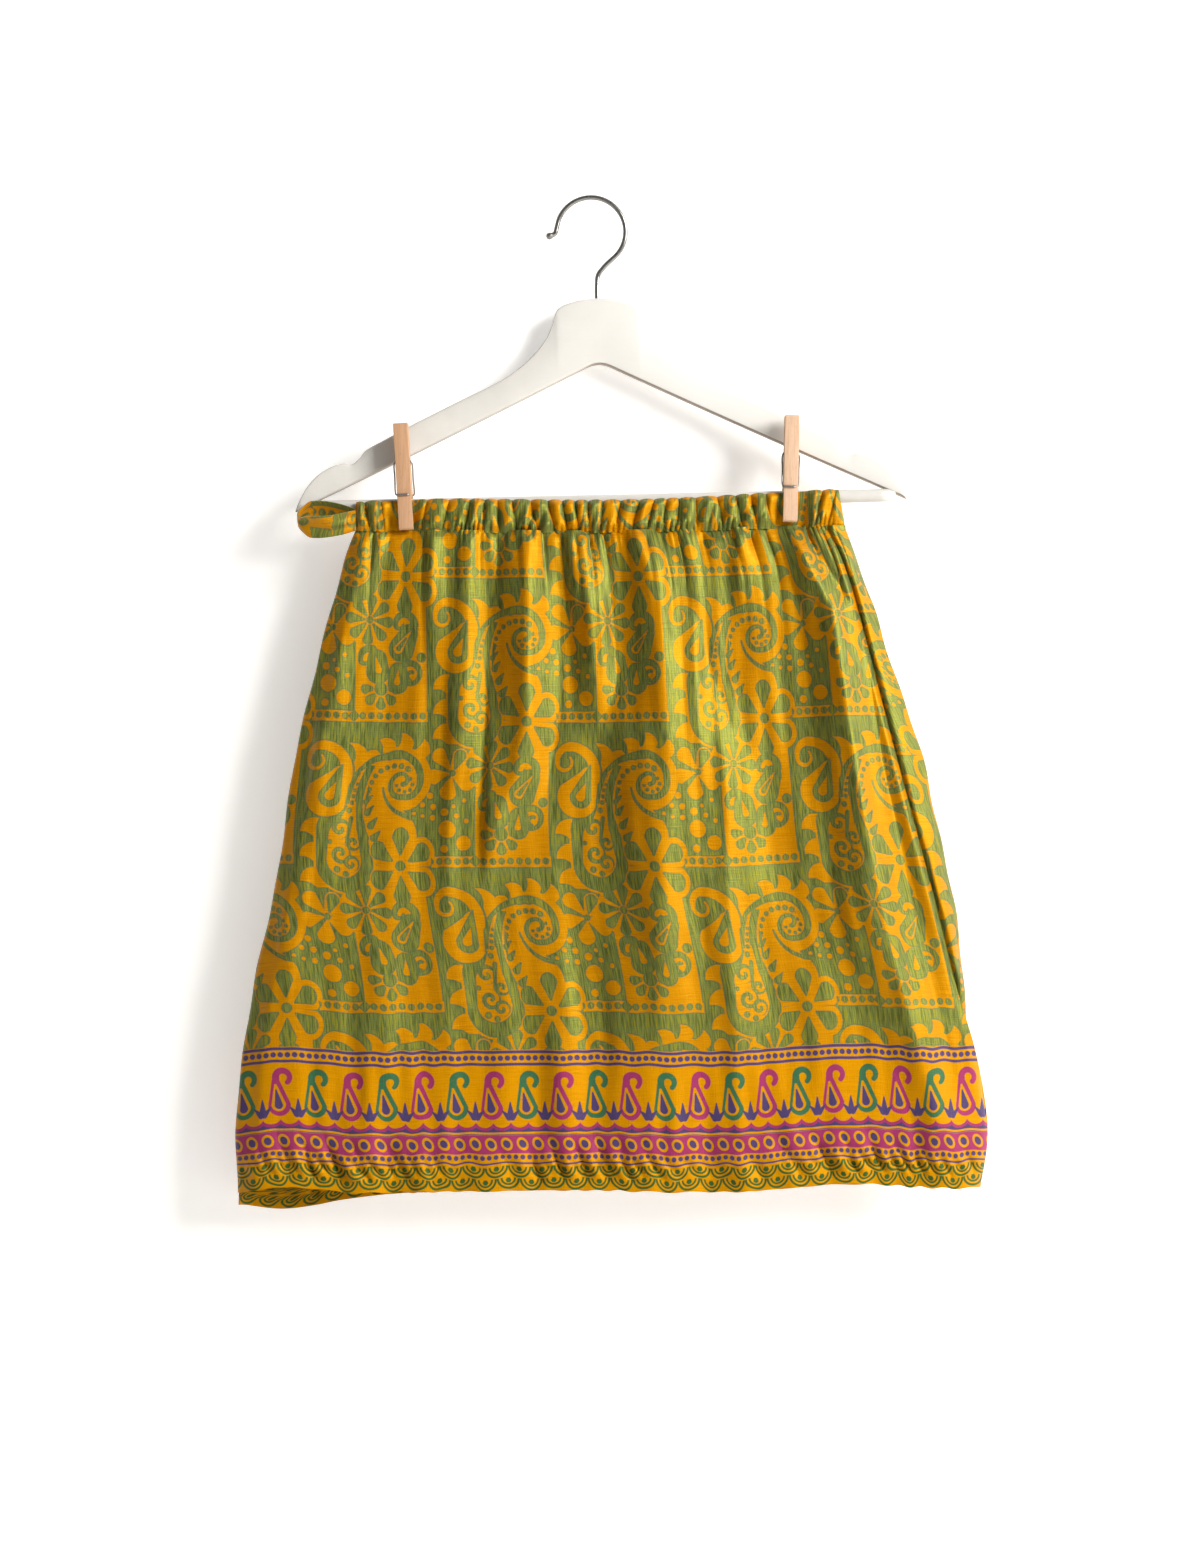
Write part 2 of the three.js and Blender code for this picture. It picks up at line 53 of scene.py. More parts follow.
GAP = 0.3
HANGER_HALF_SPAN = 225
HANGER_THICKNESS = 10
HANGER_ROLL = math.radians(1.2)
NECK = Vector((4.5, 0, -73.5))
APEX_DROP = 46.8
ARM_SLOPE = 0.485
ARM_SWEEP = 22
EDGE_ROUND = 2.2
BAR_RADIUS = 4.9
BAR_DROP = 152.5
WIRE_RADIUS = 1.85
HOOK_RADIUS = 25.6
STEM_DEPTH = 15
BAR_Y = -ARM_SWEEP
BACK_BAND_Y = BAR_Y - BAR_RADIUS - 1.5 * GAP - 0.6
BAND_SPACING = 2.2
UNDERLAP = 62
LAYER_LIFT = 2.4
JAW_DRAW = 2.6
PEG_X = (-137.9, 146.9)
PEG_TILT = (-3.3, 1.3)
PEG_SIDES = ("left", "right")
PEG_BEVEL = 0.55

# Height, side folds, over panel's edge, depths of front, side and back, reach of the side's turn.
SKIRT_COLUMNS = ("z", "left", "right", "edge", "front", "side", "back", "turn")
SKIRT_ROWS = np.array(
    [
        (-247, -172, 190, 173, -31, -29.3, -27.6, 2.5),
        (-270, -180.5, 198, 183, -35, -29.5, -24.5, 8),
        (-300, -188, 205, 193, -39, -30, -21.5, 16),
        (-345, -200, 220, 205, -43, -30.5, -18.5, 26),
        (-400, -213.5, 238, 219, -46, -31, -16.5, 36),
        (-450, -221.5, 251, 232, -48, -31, -15, 44),
        (-520, -233, 265, 251, -50, -31.5, -14, 54),
        (-580, -246, 275, 266, -51, -32, -13.5, 60),
        (-630, -254.5, 281.5, 281, -52, -32, -13, 64),
        (-685, -259, 290, 290, -52.5, -32, -13, 68),
        (-750, -258.5, 281, 281, -53, -32, -13, 70),
    ]
)
LENGTH_COLUMNS = ("x", "top", "seam", "front_hem", "back_hem")
LENGTH_ROWS = np.array(
    [
        (-260, -228.5, -247.2, -733, -742),
        (-225, -228.5, -247.2, -727, -747),
        (-172, -227.5, -247.5, -731, -739),
        (-100, -225.2, -248.6, -730.3, -734),
        (5, -226.4, -249, -729.3, -732),
        (100, -222.8, -246.8, -730.3, -732),
        (188, -218, -243.8, -724.5, -728),
        (240, -218, -243.8, -727, -729),
        (292, -218, -243.8, -728.5, -731),
    ]
)
# How the cloth's lengthwise grain fans out: place of one thread line, and millimetres across for
# each millimetre of cloth, down the skirt.
GRAIN_COLUMNS = ("z", "line", "scale")
GRAIN_ROWS = np.array(
    [
        (-247, -52, 0.865),
        (-284, -50, 0.905),
        (-389, -47.1, 0.938),
        (-494, -46, 0.985),
        (-598, -29, 1.007),
        (-730, -22, 1.012),
    ]
)
GRAIN_LINE_AT = 94  # cloth coordinate of that thread line
GRAIN_SKEW = 0.00009  # the cloth is spread a little more to the left of it than to the right

# Long folds of the front and the back, a row for each place that a fold passes: share of the way
# down, crest, width of the left and right flanks, rise. Every rise is taken FOLD_DEPTH times.
FOLD_DEPTH = 1.68
FOLD_START_EASE = 0.02  # share of the way down by which a fold may begin early
RIDGES = {
    "left_turn": [(0.1, -180, 12, 16, 0), (0.3, -188, 16, 22, 2.2), (0.6, -212, 18, 26, 2.6),
        (0.95, -236, 18, 28, 1.2)],
    "left_short": [(0.0, -115.5, 9, 9, 2.6), (0.1, -116, 8, 12, 3), (0.2, -115, 7, 13, 1.4),
        (0.26, -114, 7, 12, 0)],
    "left_inner": [(0.0, -88, 22, 11, 2.5), (0.12, -90, 26, 15, 4.6), (0.3, -92, 30, 16, 4.2),
        (0.48, -100, 30, 16, 0)],
    "first": [(0.0, -49, 15, 20, 4), (0.1, -46, 26, 24, 8), (0.28, -47, 27, 26, 8.6),
        (0.37, -55, 22, 26, 6.4), (0.44, -67, 12, 28, 4.2), (0.54, -76, 8, 30, 0)],
    "second": [(0.0, -13, 12, 14, 3), (0.12, -2, 14, 17, 5.6), (0.25, 4, 17, 17, 4.4),
        (0.34, 8, 20, 18, 0)],
    "middle": [(0.0, 33, 13, 18, 4), (0.06, 42, 21, 26, 6.5), (0.2, 50, 27, 36, 9),
        (0.32, 52, 48, 56, 12), (0.45, 52, 52, 62, 12.5), (0.6, 52, 46, 62, 11), (0.72, 50, 38, 58, 8),
        (0.8, 46, 36, 50, 4.2), (1.0, 44, 34, 46, 2.2)],
    "bright_line": [(0.0, 68, 8, 10, 1.5), (0.1, 73, 9, 10, 2.6), (0.3, 78, 10, 12, 2.2),
        (0.5, 84, 12, 14, 0)],
    "right_short": [(0.0, 108, 8, 9, 2.6), (0.08, 109, 8, 10, 2.6), (0.15, 111, 8, 11, 0)],
    "right_broad": [(0.2, 92, 20, 24, 0), (0.4, 97, 20, 26, 4.4), (0.7, 103, 20, 28, 5.0),
        (0.86, 108, 22, 28, 1.4)],
    "side": [(0.0, 145, 12, 10, 2), (0.05, 155, 15, 14, 5.5), (0.13, 174, 21, 18, 9.5),
        (0.24, 182, 24, 22, 11), (0.39, 192, 27, 24, 11.5), (0.54, 205, 31, 26, 10),
        (0.65, 216, 30, 26, 7.5), (0.78, 236, 22, 24, 4.6), (0.9, 251, 18, 22, 3.2),
        (1.0, 256, 18, 22, 1.6)],
    "edge_roll": [(0.0, 168, 8, 5, 1.0), (0.047, 178.5, 9, 4.5, 1.8), (0.11, 188.5, 9, 4.5, 2.0),
        (0.203, 200.5, 9, 4.5, 2.0), (0.317, 214.5, 9, 4.5, 2.0), (0.42, 227.5, 9, 4.5, 2.0),
        (0.567, 246.5, 9, 4.5, 1.8), (0.69, 261.5, 9, 4.5, 1.4), (0.78, 274, 9, 4.5, 0)],
    "crease": [(0.2, -73, 3, 14, 0), (0.3, -73, 4, 16, 2.6), (0.44, -75, 4, 18, 3.0),
        (0.54, -77, 4, 18, 0)],
    "left_rim": [(0.04, -168, 8, 12, 1.0), (0.2, -184, 10, 14, 2.6), (0.5, -214, 10, 16, 2.6),
        (0.8, -240, 10, 16, 2.0), (1.0, -244, 10, 14, 1)],
    "bright_left": [(0.14, -99, 7, 10, 0), (0.3, -101, 7, 10, 1.6), (0.5, -104, 7, 10, 1.4),
        (0.62, -106, 7, 10, 0)],
    "bright_mid": [(0.04, 88, 9, 9, 1.2), (0.18, 94, 9, 10, 1.8), (0.3, 99, 9, 10, 0)],
    "lower_a": [(0.55, -150, 16, 22, 0), (0.75, -160, 18, 24, 2.4), (0.95, -164, 18, 24, 1.6)],
    "lower_b": [(0.6, -20, 14, 20, 0), (0.8, -22, 16, 22, 2.2), (1.0, -24, 16, 22, 1.6)],
    "side_lower": [(0.45, 176, 22, 20, 0), (0.6, 190, 22, 20, 3), (0.75, 206, 22, 22, 0)],
}
BACK_RIDGES = {
    "a": [(0.0, -128, 14, 16, 3), (0.15, -136, 22, 22, 6), (0.5, -158, 34, 28, 7),
        (0.85, -176, 36, 30, 3), (1.0, -180, 36, 30, 2)],
    "b": [(0.0, -76, 12, 16, 4), (0.12, -80, 22, 24, 7.5), (0.4, -92, 36, 34, 9),
        (0.7, -104, 36, 34, 6), (1.0, -106, 30, 30, 2)],
    "c": [(0.0, -22, 12, 12, 3), (0.1, -24, 16, 16, 5), (0.32, -27, 20, 18, 4), (0.5, -30, 20, 20, 0)],
    "d": [(0.0, 24, 14, 14, 3.4), (0.14, 27, 24, 22, 7), (0.45, 36, 40, 34, 9), (0.8, 44, 38, 34, 4),
        (1.0, 46, 34, 30, 2)],
    "e": [(0.0, 76, 12, 12, 3), (0.2, 84, 20, 18, 5.6), (0.55, 100, 28, 24, 5), (0.8, 110, 26, 24, 0)],
    "f": [(0.0, 128, 12, 14, 3.4), (0.14, 138, 22, 22, 6.6), (0.5, 164, 34, 30, 8),
        (0.85, 186, 34, 32, 4), (1.0, 192, 30, 30, 2)],
}


def column(rows, names, name, at):
    """Smooth value of one column of a table, along its first column (Catmull-Rom, uneven steps)."""
    keys, values = rows[:, 0], rows[:, names.index(name)]
    at = np.asarray(at, float)
    if keys[0] > keys[-1]:
        keys, at = -keys, -at
    low = np.maximum(np.arange(len(keys)) - 1, 0)
    high = np.minimum(np.arange(len(keys)) + 1, len(keys) - 1)
    slope = (values[high] - values[low]) / (keys[high] - keys[low])
    i = np.clip(np.searchsorted(keys, at, side="right") - 1, 0, len(keys) - 2)
    step = keys[i + 1] - keys[i]
    t = np.clip((at - keys[i]) / step, 0, 1)
    rise = t * t * (3 - 2 * t)
    turn = t * (1 - t) * step
    return (1 - rise) * values[i] + rise * values[i + 1] + turn * ((1 - t) * slope[i] - t * slope[i + 1])


def skirt(name, z):
    return column(SKIRT_ROWS, SKIRT_COLUMNS, name, z)


def lengthwise(name, x):
    return column(LENGTH_ROWS, LENGTH_COLUMNS, name, x)


def fanned(name, z):
    return column(GRAIN_ROWS, GRAIN_COLUMNS, name, z)


def blend(a, b, t):
    return a + (b - a) * t


def soft(start, end, at):
    """Soft step from 0 at one place to 1 at another, whichever of the two is larger."""
    t = np.clip((np.asarray(at, float) - start) / (end - start), 0, 1)
    return t * t * (3 - 2 * t)


def bar_height(x):
    """Height of the bar's middle line."""
    return NECK.z - BAR_DROP + math.tan(HANGER_ROLL) * (x - NECK.x)


def pressed(x):
    """1 under a peg, 0 away from both."""
    away = np.minimum(np.abs(x - PEG_X[0]), np.abs(x - PEG_X[1]))
    return 1 - soft(7.5, 19, away)


def grain(x, z):
    """Cloth coordinate across, from a place on the hanging cloth."""
    across = (x - fanned("line", z)) / fanned("scale", z)
    return GRAIN_LINE_AT + across + GRAIN_SKEW * across**2


def flank(t):
    """Side of a fold, 1 at its crest and 0 at its foot: nearly straight, with eased ends."""
    t = np.clip(t, 0, 1)
    crest = (np.sqrt(t * t + 0.012) - 0.1095) / (math.sqrt(1.012) - 0.1095)
    left = 1 - crest
    return 1.1 * left * left / (left + 0.1)


def ridge_rise(ridges, x, v):
    """Long folds: each rises on its left flank and falls on its right one."""
    total = np.zeros_like(x)
    for rows in ridges.values():
        down, *columns = np.array(rows).T
        crest, left, right, rise = (np.interp(v, down, values) for values in columns)
        rise = np.where(v < down[0] - FOLD_START_EASE, 0, rise)
        away = x - crest
        total += FOLD_DEPTH * rise * flank(np.abs(away) / np.where(away < 0, left, right))
    return total


WANDER_WAVES = 9


def wander(c, v, seed, across, along):
    """Soft uneven wrinkles, longer down the cloth than across it."""
    local = np.random.default_rng(seed)
    total = np.zeros_like(c)
    for _ in range(WANDER_WAVES):
        pitch = across * local.uniform(0.7, 1.5)
        lean = local.uniform(-0.5, 0.5) * along
        phase = local.uniform(0, 2 * np.pi)
        sway = 1.3 * np.sin(2 * np.pi * along * v + phase)
        total += np.sin(2 * np.pi * (c / pitch + lean * v) + phase + sway)
    return total / math.sqrt(WANDER_WAVES)


def gather_bulge(c, pitch):
    """Gathers drawn up at the waist: round bulges with narrow creases between them, 0 to 1."""
    phase = c / pitch + 0.4 * np.sin(c / 29) + 0.2 * np.sin(c / 10.3 + 1)
    return np.abs(np.sin(np.pi * phase)) ** 0.7 * (0.84 + 0.16 * np.sin(c / 23 + 2))


def fine_gather(c):
    phase = c / 5.1 + 0.8 * np.sin(c / 13.7) + 0.5 * np.sin(c / 5.9 + 2)
    return np.abs(np.sin(np.pi * phase)) * (0.6 + 0.4 * np.sin(c / 7.9))


# ---------------------------------------------------------------- cloth

CLOTH_WALL = 0.9
BORDER_HEIGHT = 102.5  # from the hem up to the border's first line
FRONT_LENGTH = 481.5
BACK_LENGTH = 486.0
HEM_STITCH = 17.5  # height of the stitching above the hem

# Small folds: how far each kind stands out, and how far from its seam or stitching it reaches.
GATHER_PITCH, GATHER_RISE, GATHER_REACH = 14.2, 5.8, 40
FINE_RISE, FINE_REACH = 3.0, 9
PUCKER_RISE, PUCKER_REACH = 2.7, 7
SWAY_RISE = 1.5
TUG_RISE = 6.2
WRINKLES = (46, 1.6, 1.0), (17, 2.6, 0.4)  # pitch across, waves down the cloth, rise
WRINKLED_LENGTH = 480
SIDE_MARGIN = 14  # width over which they fade out at a side fold
FRONT_SET_BACK = 7.0  # how much flatter the front hangs than its table's depth, below the waist

BACK_BULGE = 2.0  # how far the back's hollows between folds may go towards the wall

# A place across a panel depends on its height and the height on the place, so the panels start from
# these heights and settle both in turns.
WAIST_Z, FRONT_HEM_Z, BACK_HEM_Z = -248.0, -730.0, -732.0
SETTLING_ROUNDS = 4

# The over panel's free edge, and the layer that shows beyond it.
EDGE_ROLL = 1.6
UNDERLAP_RISE = 4  # of the under lap's hem above the front's
STRIP_RISE, STRIP_CREST = 4.4, 3.6  # how far the strip stands up, and its crest's distance from the edge

# The casing: its ends, how much longer it is at its foot, and the pitch of its gathers.
BAND_LEFT, BAND_RIGHT, BAND_SLANT = -172.0, 181.5, 4.5
BAND_PITCH = 11.6
SEAM_UNDER, SEAM_GAP = 0.6, 0.45  # how far the front and the back start from the waist seam


def at_seam(x, z):
    """Where the thread line through a place meets the waist seam."""
    top = GRAIN_ROWS[0]
    return top[1] + (grain(x, z) - GRAIN_LINE_AT) * top[2]


def left_side(z):
    """The left fold's line, a little uneven."""
    return skirt("left", z) + 0.9 * np.sin(z / 13 + 1) * np.sin(z / 41)


def right_side(z):
    """The right fold's line, a little uneven, closing in to the casing's end at the top."""
    return skirt("right", z) - 3.5 * soft(-310, -252, z) + 1.3 * np.sin(z / 11.5) * np.sin(z / 37 + 0.6)


def round_sides(x, z, left, right):
    """How far the cloth has turned from the side fold to the face, 0 to 1."""
    inwards = np.clip(np.minimum(x - left, right - x) / skirt("turn", z), 0, 1)
    return (1 - (1 - inwards) ** 2.2) ** (1 / 2.2)


def inside_margin(x, left, right):
    """0 on a side fold, 1 where the small folds stand out in full."""
    return soft(0, 1, np.minimum(x - left, right - x) / SIDE_MARGIN)


def below_seam(v):
    """0 on the waist seam, 1 a little below it."""
    return soft(0, 0.05, v)


def small_folds(x, z, v, length, seed):
    """Gathers below the waist seam, soft wrinkles, and puckers and tugs along the hem stitching."""
    below, above = v * length, (1 - v) * length
    threads = at_seam(x, z)
    free = 1 - 0.8 * pressed(threads)
    bulges = gather_bulge(threads, GATHER_PITCH) - 0.5
    gathers = GATHER_RISE * bulges * np.exp(-below / GATHER_REACH) * soft(0, 9, below) * free
    gathers += FINE_RISE * fine_gather(threads) * np.exp(-below / FINE_REACH) * free
    wrinkles = sum(
        rise * wander(threads, below / WRINKLED_LENGTH, seed + k, across, along)
        for k, (across, along, rise) in enumerate(WRINKLES)
    )
    stitched = np.exp(-(((above - HEM_STITCH) / PUCKER_REACH) ** 2))
    slant = np.sin(2 * np.pi * (x / 10.5 + above / 16) + 2.2 * np.sin(x / 19))
    puckers = PUCKER_RISE * slant * stitched * (0.55 + 0.45 * np.sin(x / 31 + 1))
    drop = soft(90, 0, above)
    waves = SWAY_RISE * drop * (np.sin(x / 19 + 0.7 * np.sin(x / 43)) + 0.6 * np.sin(x / 9.7 + 2))
    tugs = np.abs(np.sin(np.pi * ((x + 0.45 * above) / 21 + 0.5 * np.sin(x / 37)))) ** 0.6
    near_stitching = soft(50, 18, above) * soft(2, 14, above)
    waves += TUG_RISE * near_stitching * (tugs - 0.8) * (0.6 + 0.4 * np.sin(x / 27 + 2))
    return gathers + wrinkles * soft(0, 40, below) + puckers + waves


def front_face(x, z, v, left, right):
    side = skirt("side", z)
    rounding = round_sides(x, z, left, right)
    depth = (skirt("front", z) + FRONT_SET_BACK * soft(0.02, 0.2, v) - side) * rounding
    folds = ridge_rise(RIDGES, x, v) * rounding
    share = 0.25 + 0.75 * inside_margin(x, left, right)
    folds += small_folds(x, z, v, FRONT_LENGTH, 11) * share
    return side + depth - folds + JAW_DRAW * pressed(x) * (1 - below_seam(v))


def back_face(x, z, v, left, right):
    side = skirt("side", z)
    rounding = round_sides(x, z, left, right)
    depth = (skirt("back", z) - side) * rounding
    folds = ridge_rise(BACK_RIDGES, x, v) * rounding * 0.9
    folds += small_folds(x, z, v, BACK_LENGTH, 23) * inside_margin(x, left, right)
    return side + depth - np.clip(folds, -BACK_BULGE, None) * below_seam(v)


def tucked_in(z):
    """How far the layer below draws in behind the over panel's edge, low down."""
    return 4 * soft(-545, -612, z)


def hem_wave(x):
    """The hem's edge, drawn up unevenly by its stitching."""
    return 0.7 * np.sin(x / 3.4 + 2.1 * np.sin(x / 19)) * (0.6 + 0.4 * np.sin(x / 31))


def front_panel(u, v):
    """The over panel, from the left fold to its free edge."""
    across = 0.55 * u + 0.225 * (1 - np.cos(np.pi * u))
    z = blend(WAIST_Z, FRONT_HEM_Z, v)
    for _ in range(SETTLING_ROUNDS):
        x = blend(left_side(z), skirt("edge", z), across)
        z = blend(lengthwise("seam", x) + SEAM_UNDER, lengthwise("front_hem", x) + hem_wave(x), v)
    y = front_face(x, z, v, left_side(z), right_side(z))
    lift = LAYER_LIFT * soft(0.45, 0.7, across) * below_seam(v)
    rolled = EDGE_ROLL * soft(0.988, 1, across)
    tucked = 1.8 * soft(0.012, 0, v)  # the seam edge goes in behind the casing's
    return x, y - lift - 0.2 + rolled + tucked, z


def back_panel(u, v):
    """The back, from the left fold round the right one to the end of the under lap."""
    turn = 0.74  # share of the columns that lie on the back
    behind = u <= turn
    along = np.clip(u / turn, 0, 1)
    around = np.clip((u - turn) / (1 - turn), 0, 1)
    across = 0.6 * along + 0.2 * (1 - np.cos(np.pi * along))
    z = blend(WAIST_Z, BACK_HEM_Z, v)
    for _ in range(SETTLING_ROUNDS):
        right = right_side(z) - tucked_in(z)
        x_back = blend(left_side(z) + 0.4, right, across)
        x_front = blend(right, skirt("edge", z) - UNDERLAP, 1 - np.cos((np.pi / 2) * around))
        x = np.where(behind, x_back, x_front)
        front_hem = lengthwise("front_hem", x) + UNDERLAP_RISE
        back_hem = blend(lengthwise("back_hem", x), front_hem, soft(0.86, 1, along))
        hem = np.where(behind, back_hem, front_hem)
        z = blend(lengthwise("seam", x) - SEAM_GAP, hem, v)
    left, right = left_side(z), right_side(z) - tucked_in(z)
    y_back = back_face(x, z, v, left, right) + 0.7 * GAP * soft(0.5, 0, along)
    y_front = front_face(x, z, v, left, right) + 1.5 * (1 - below_seam(v)) * around ** 0.5
    # The strip that shows beyond the over panel's edge stands up in a fold of its own.
    past, strip = x - skirt("edge", z), np.maximum(right - skirt("edge", z), 1)
    crest = np.minimum(STRIP_CREST, 0.4 * strip)
    y_front -= STRIP_RISE * soft(0.9, crest, past) * soft(strip, crest, past) * soft(3, 9, strip)
    return x, np.where(behind, y_back, y_front), z


def waistband(base_y, fullness, outermost, tucked):
    """One side of the casing. A full one is gathered, and its top edge folds back a little."""
    full = fullness > 1

    def surface(u, v):
        x = blend(BAND_LEFT + outermost, BAND_RIGHT - outermost + BAND_SLANT * v, u)
        ends = soft(0, 0.012, u) * soft(1, 0.988, u)
        free = (1 - pressed(x)) * ends  # where no peg and no end holds the gathers down
        bulge = gather_bulge(x + 6.0 * (v - 0.5) * np.sin(x / 23), BAND_PITCH) ** 0.75
        seam = lengthwise("seam", x) - tucked + 0.11 * fullness * (fine_gather(x) - 0.5) * free
        top = lengthwise("top", x) + (0.5 + 0.18 * fullness) * (bulge - 0.6) * free
        z = blend(top, seam, v)
        profile = 0.5 + 0.5 * soft(0, 0.2, v) - 0.62 * soft(0.7, 0.95, v)
        rise = fullness * bulge * profile * free
        at_edges = soft(0.55, 0.86, v) + 0.35 * soft(0.2, 0.0, v)
        rise += fullness * 0.55 * fine_gather(x + 3 * v) * at_edges * free
        rise += fullness * 0.16 * np.sin(x / 1.9 + 5 * v + 2 * np.sin(x / 7)) * np.sin(np.pi * v) * free
        folded = 2.0 * (1 - np.clip(v / 0.12, 0, 1)) ** 2
        below_bar = soft(bar_height(x) - 2, bar_height(x) - 11, z)
        y = base_y - rise + folded * full + JAW_DRAW * pressed(x) * below_bar
        y += 0.7 * soft(0.9, 1, v) * full
        return x, y, z

    return surface


def tie_loop(u, v):
    """The folded tie in a flat loop, from the casing's left end and back to it."""
    width, reach, depth = 19, 42, 25
    angle = 0.94 * np.pi * (2 * u - 1)
    opening = np.abs(np.cos(angle / 2)) ** 0.7
    lean = np.radians(12 + 28 * opening)
    in_plane = (depth / 2) * np.sin(angle) * (0.35 + 0.65 * opening)
    across = (v - 0.5) * width * (0.72 + 0.28 * opening) * (1 - 0.5 * soft(0.55, 1, np.cos(angle)))
    x = BAND_LEFT + 0.2 - (reach / 2) * (1 + np.cos(angle))
    crease = 1.5 * np.sin(angle * 3.1 + v * 4) * opening * np.sin(np.pi * v)
    crease += 0.9 * (1 - opening) * np.sin(v * 15 + 0.8)
    y = BACK_BAND_Y - BAND_SPACING - 2 - 5.5 * opening + in_plane * np.cos(lean) + across * np.sin(lean)
    z = -240.5 + in_plane * np.sin(lean) - across * np.cos(lean)
    return x, y - crease * np.cos(lean), z - crease * np.sin(lean)


def along_rows(x, y, z):
    """Length along each row of a grid of places, from its first column."""
    steps = np.sqrt(np.diff(x, axis=1) ** 2 + np.diff(y, axis=1) ** 2 + np.diff(z, axis=1) ** 2)
    return np.hstack([np.zeros((x.shape[0], 1)), np.cumsum(steps, axis=1)])


def front_threads(x, y, z, v):
    """Cloth coordinates of the front: across the fanned grain, and up from the hem."""
    along = (1 - v) * FRONT_LENGTH
    return grain(x, z), along + 0.8 * np.sin(x / 4.1 + 1.8 * np.sin(x / 17)) * soft(34, 14, along)


def back_threads(x, y, z, v):
    length = along_rows(x, y, z)
    middle = length[:, [int(0.37 * x.shape[1])]]
    return (length - middle) / fanned("scale", z) + 31, (1 - v) * BACK_LENGTH + 26 * soft(0.76, 0.7, v)


def band_threads(x, y, z, v):
    return grain(x, np.full_like(z, -247.0)), FRONT_LENGTH + (1 - v) * 22


def tie_threads(x, y, z, v):
    return along_rows(x, y, z) * 0.9 + 150, 232 + v * 15


def linked(name, data):
    """A new object in the scene."""
    obj = bpy.data.objects.new(name, data)
    bpy.context.collection.objects.link(obj)
    return obj


def rim_strips(number, far):
    """Faces that close a shell along its top, bottom, left and right rims."""
    rims = (number[0], True), (number[-1], False), (number[:, 0], False), (number[:, -1], True)
    strips = []
    for rim, backwards in rims:
        start, end = (rim[1:], rim[:-1]) if backwards else (rim[:-1], rim[1:])
        strips.append(np.stack([start, end, end + far, start + far], -1))
    return strips


def bake_places(share, outside, inside, strips):
    """Bake coordinates: the outer side large, the inner side flat below it, the rims in strips."""
    margin, width = 0.004, 0.992
    seen = share * (width, 0.792) + (margin, margin + 0.2)
    hidden = share * (width, 0.16) + (margin, margin + 0.03)
    places = [seen[outside.reshape(-1)], hidden[inside.reshape(-1)]]
    for k, strip in enumerate(strips):
        ends = np.arange(len(strip) + 1) / len(strip)
        start, stop = (ends[1:], ends[:-1]) if k in (0, 3) else (ends[:-1], ends[1:])
        low = np.full(len(strip), 0.006 + 0.007 * k)
        high = low + 0.004
        quads = np.stack([start, high, stop, high, stop, low, start, low], -1).reshape(-1, 2)
        places.append(quads * (width, 1) + (margin, 0))
    return np.concatenate(places)


def rim_edges(mesh, rows, columns):
    """Which edges of a shell run along its rims, and so stay sharp."""
    far = rows * columns
    ends = np.empty(len(mesh.edges) * 2, np.int32)
    mesh.edges.foreach_get("vertices", ends)
    pair = ends.reshape(-1, 2)
    same_side = (pair[:, 0] < far) == (pair[:, 1] < far)
    along_rim = np.zeros(len(pair), bool)
    for place, count in zip(np.divmod(pair % far, columns), (rows, columns)):
        along_rim |= (place == 0).all(1) | (place == count - 1).all(1)
    return same_side & along_rim


def cloth(name, surface, threads, us, vs, materials, border=None):
    """A thin closed shell on a surface of rows and columns, with cloth and bake coordinates.

    surface gives places in millimetres for u across and v down, and threads their cloth
    coordinates. us and vs are the places of the columns and rows, border the row where the second
    material starts.
    """
    u, v = np.meshgrid(us, vs)
    x, y, z = surface(u, v)
    across, along = threads(x, y, z, v)
    rows, columns = u.shape
    places = np.stack([x, y, z], axis=-1)
    normal = np.cross(np.gradient(places, axis=1), np.gradient(places, axis=0))
    normal /= np.linalg.norm(normal, axis=-1, keepdims=True)
    outer = places + normal * CLOTH_WALL / 2
    inner = places - normal * CLOTH_WALL / 2
    points = np.concatenate([outer.reshape(-1, 3), inner.reshape(-1, 3)]) * MM

    far = rows * columns
    number = np.arange(far).reshape(rows, columns)
    quad = [number[:-1, :-1], number[:-1, 1:], number[1:, 1:], number[1:, :-1]]
    outside = np.stack(quad, -1).reshape(-1, 4)
    inside = np.stack(quad[::-1], -1).reshape(-1, 4)
    strips = rim_strips(number, far)
    faces = np.concatenate([outside, inside + far, *strips])

    mesh = bpy.data.meshes.new(name)
    mesh.from_pydata(points.tolist(), [], faces.tolist())
    obj = linked(name, mesh)

    # Cloth coordinates, in metres, the same on both sides.
    flat = np.stack([across, along], -1).reshape(-1, 2) * MM
    corner = faces.reshape(-1)
    mesh.uv_layers.new(name="Cloth").data.foreach_set("uv", flat[corner % far].reshape(-1))
    spread = along_rows(x, y, z)
    share = np.stack([spread / spread[:, -1:], 1 - (v - vs[0]) / (vs[-1] - vs[0])], -1).reshape(-1, 2)
    baked = bake_places(share, outside, inside, strips)
    mesh.uv_layers.new(name="OFBake").data.foreach_set("uv", baked.reshape(-1))

    for material in materials:
        mesh.materials.append(material)
    if border is not None:
        below = np.arange(rows - 1) >= border
        panel = np.repeat(below, columns - 1)
        top = np.zeros(columns - 1, bool)
        index = np.concatenate([panel, panel, top, ~top, below, below]).astype(np.int32)
        mesh.polygons.foreach_set("material_index", index)
    mesh.polygons.foreach_set("use_smooth", np.ones(len(faces), bool))
    sharp = mesh.attributes.new("sharp_edge", "BOOLEAN", "EDGE")
    sharp.data.foreach_set("value", rim_edges(mesh, rows, columns))
    mesh.update()
    return obj


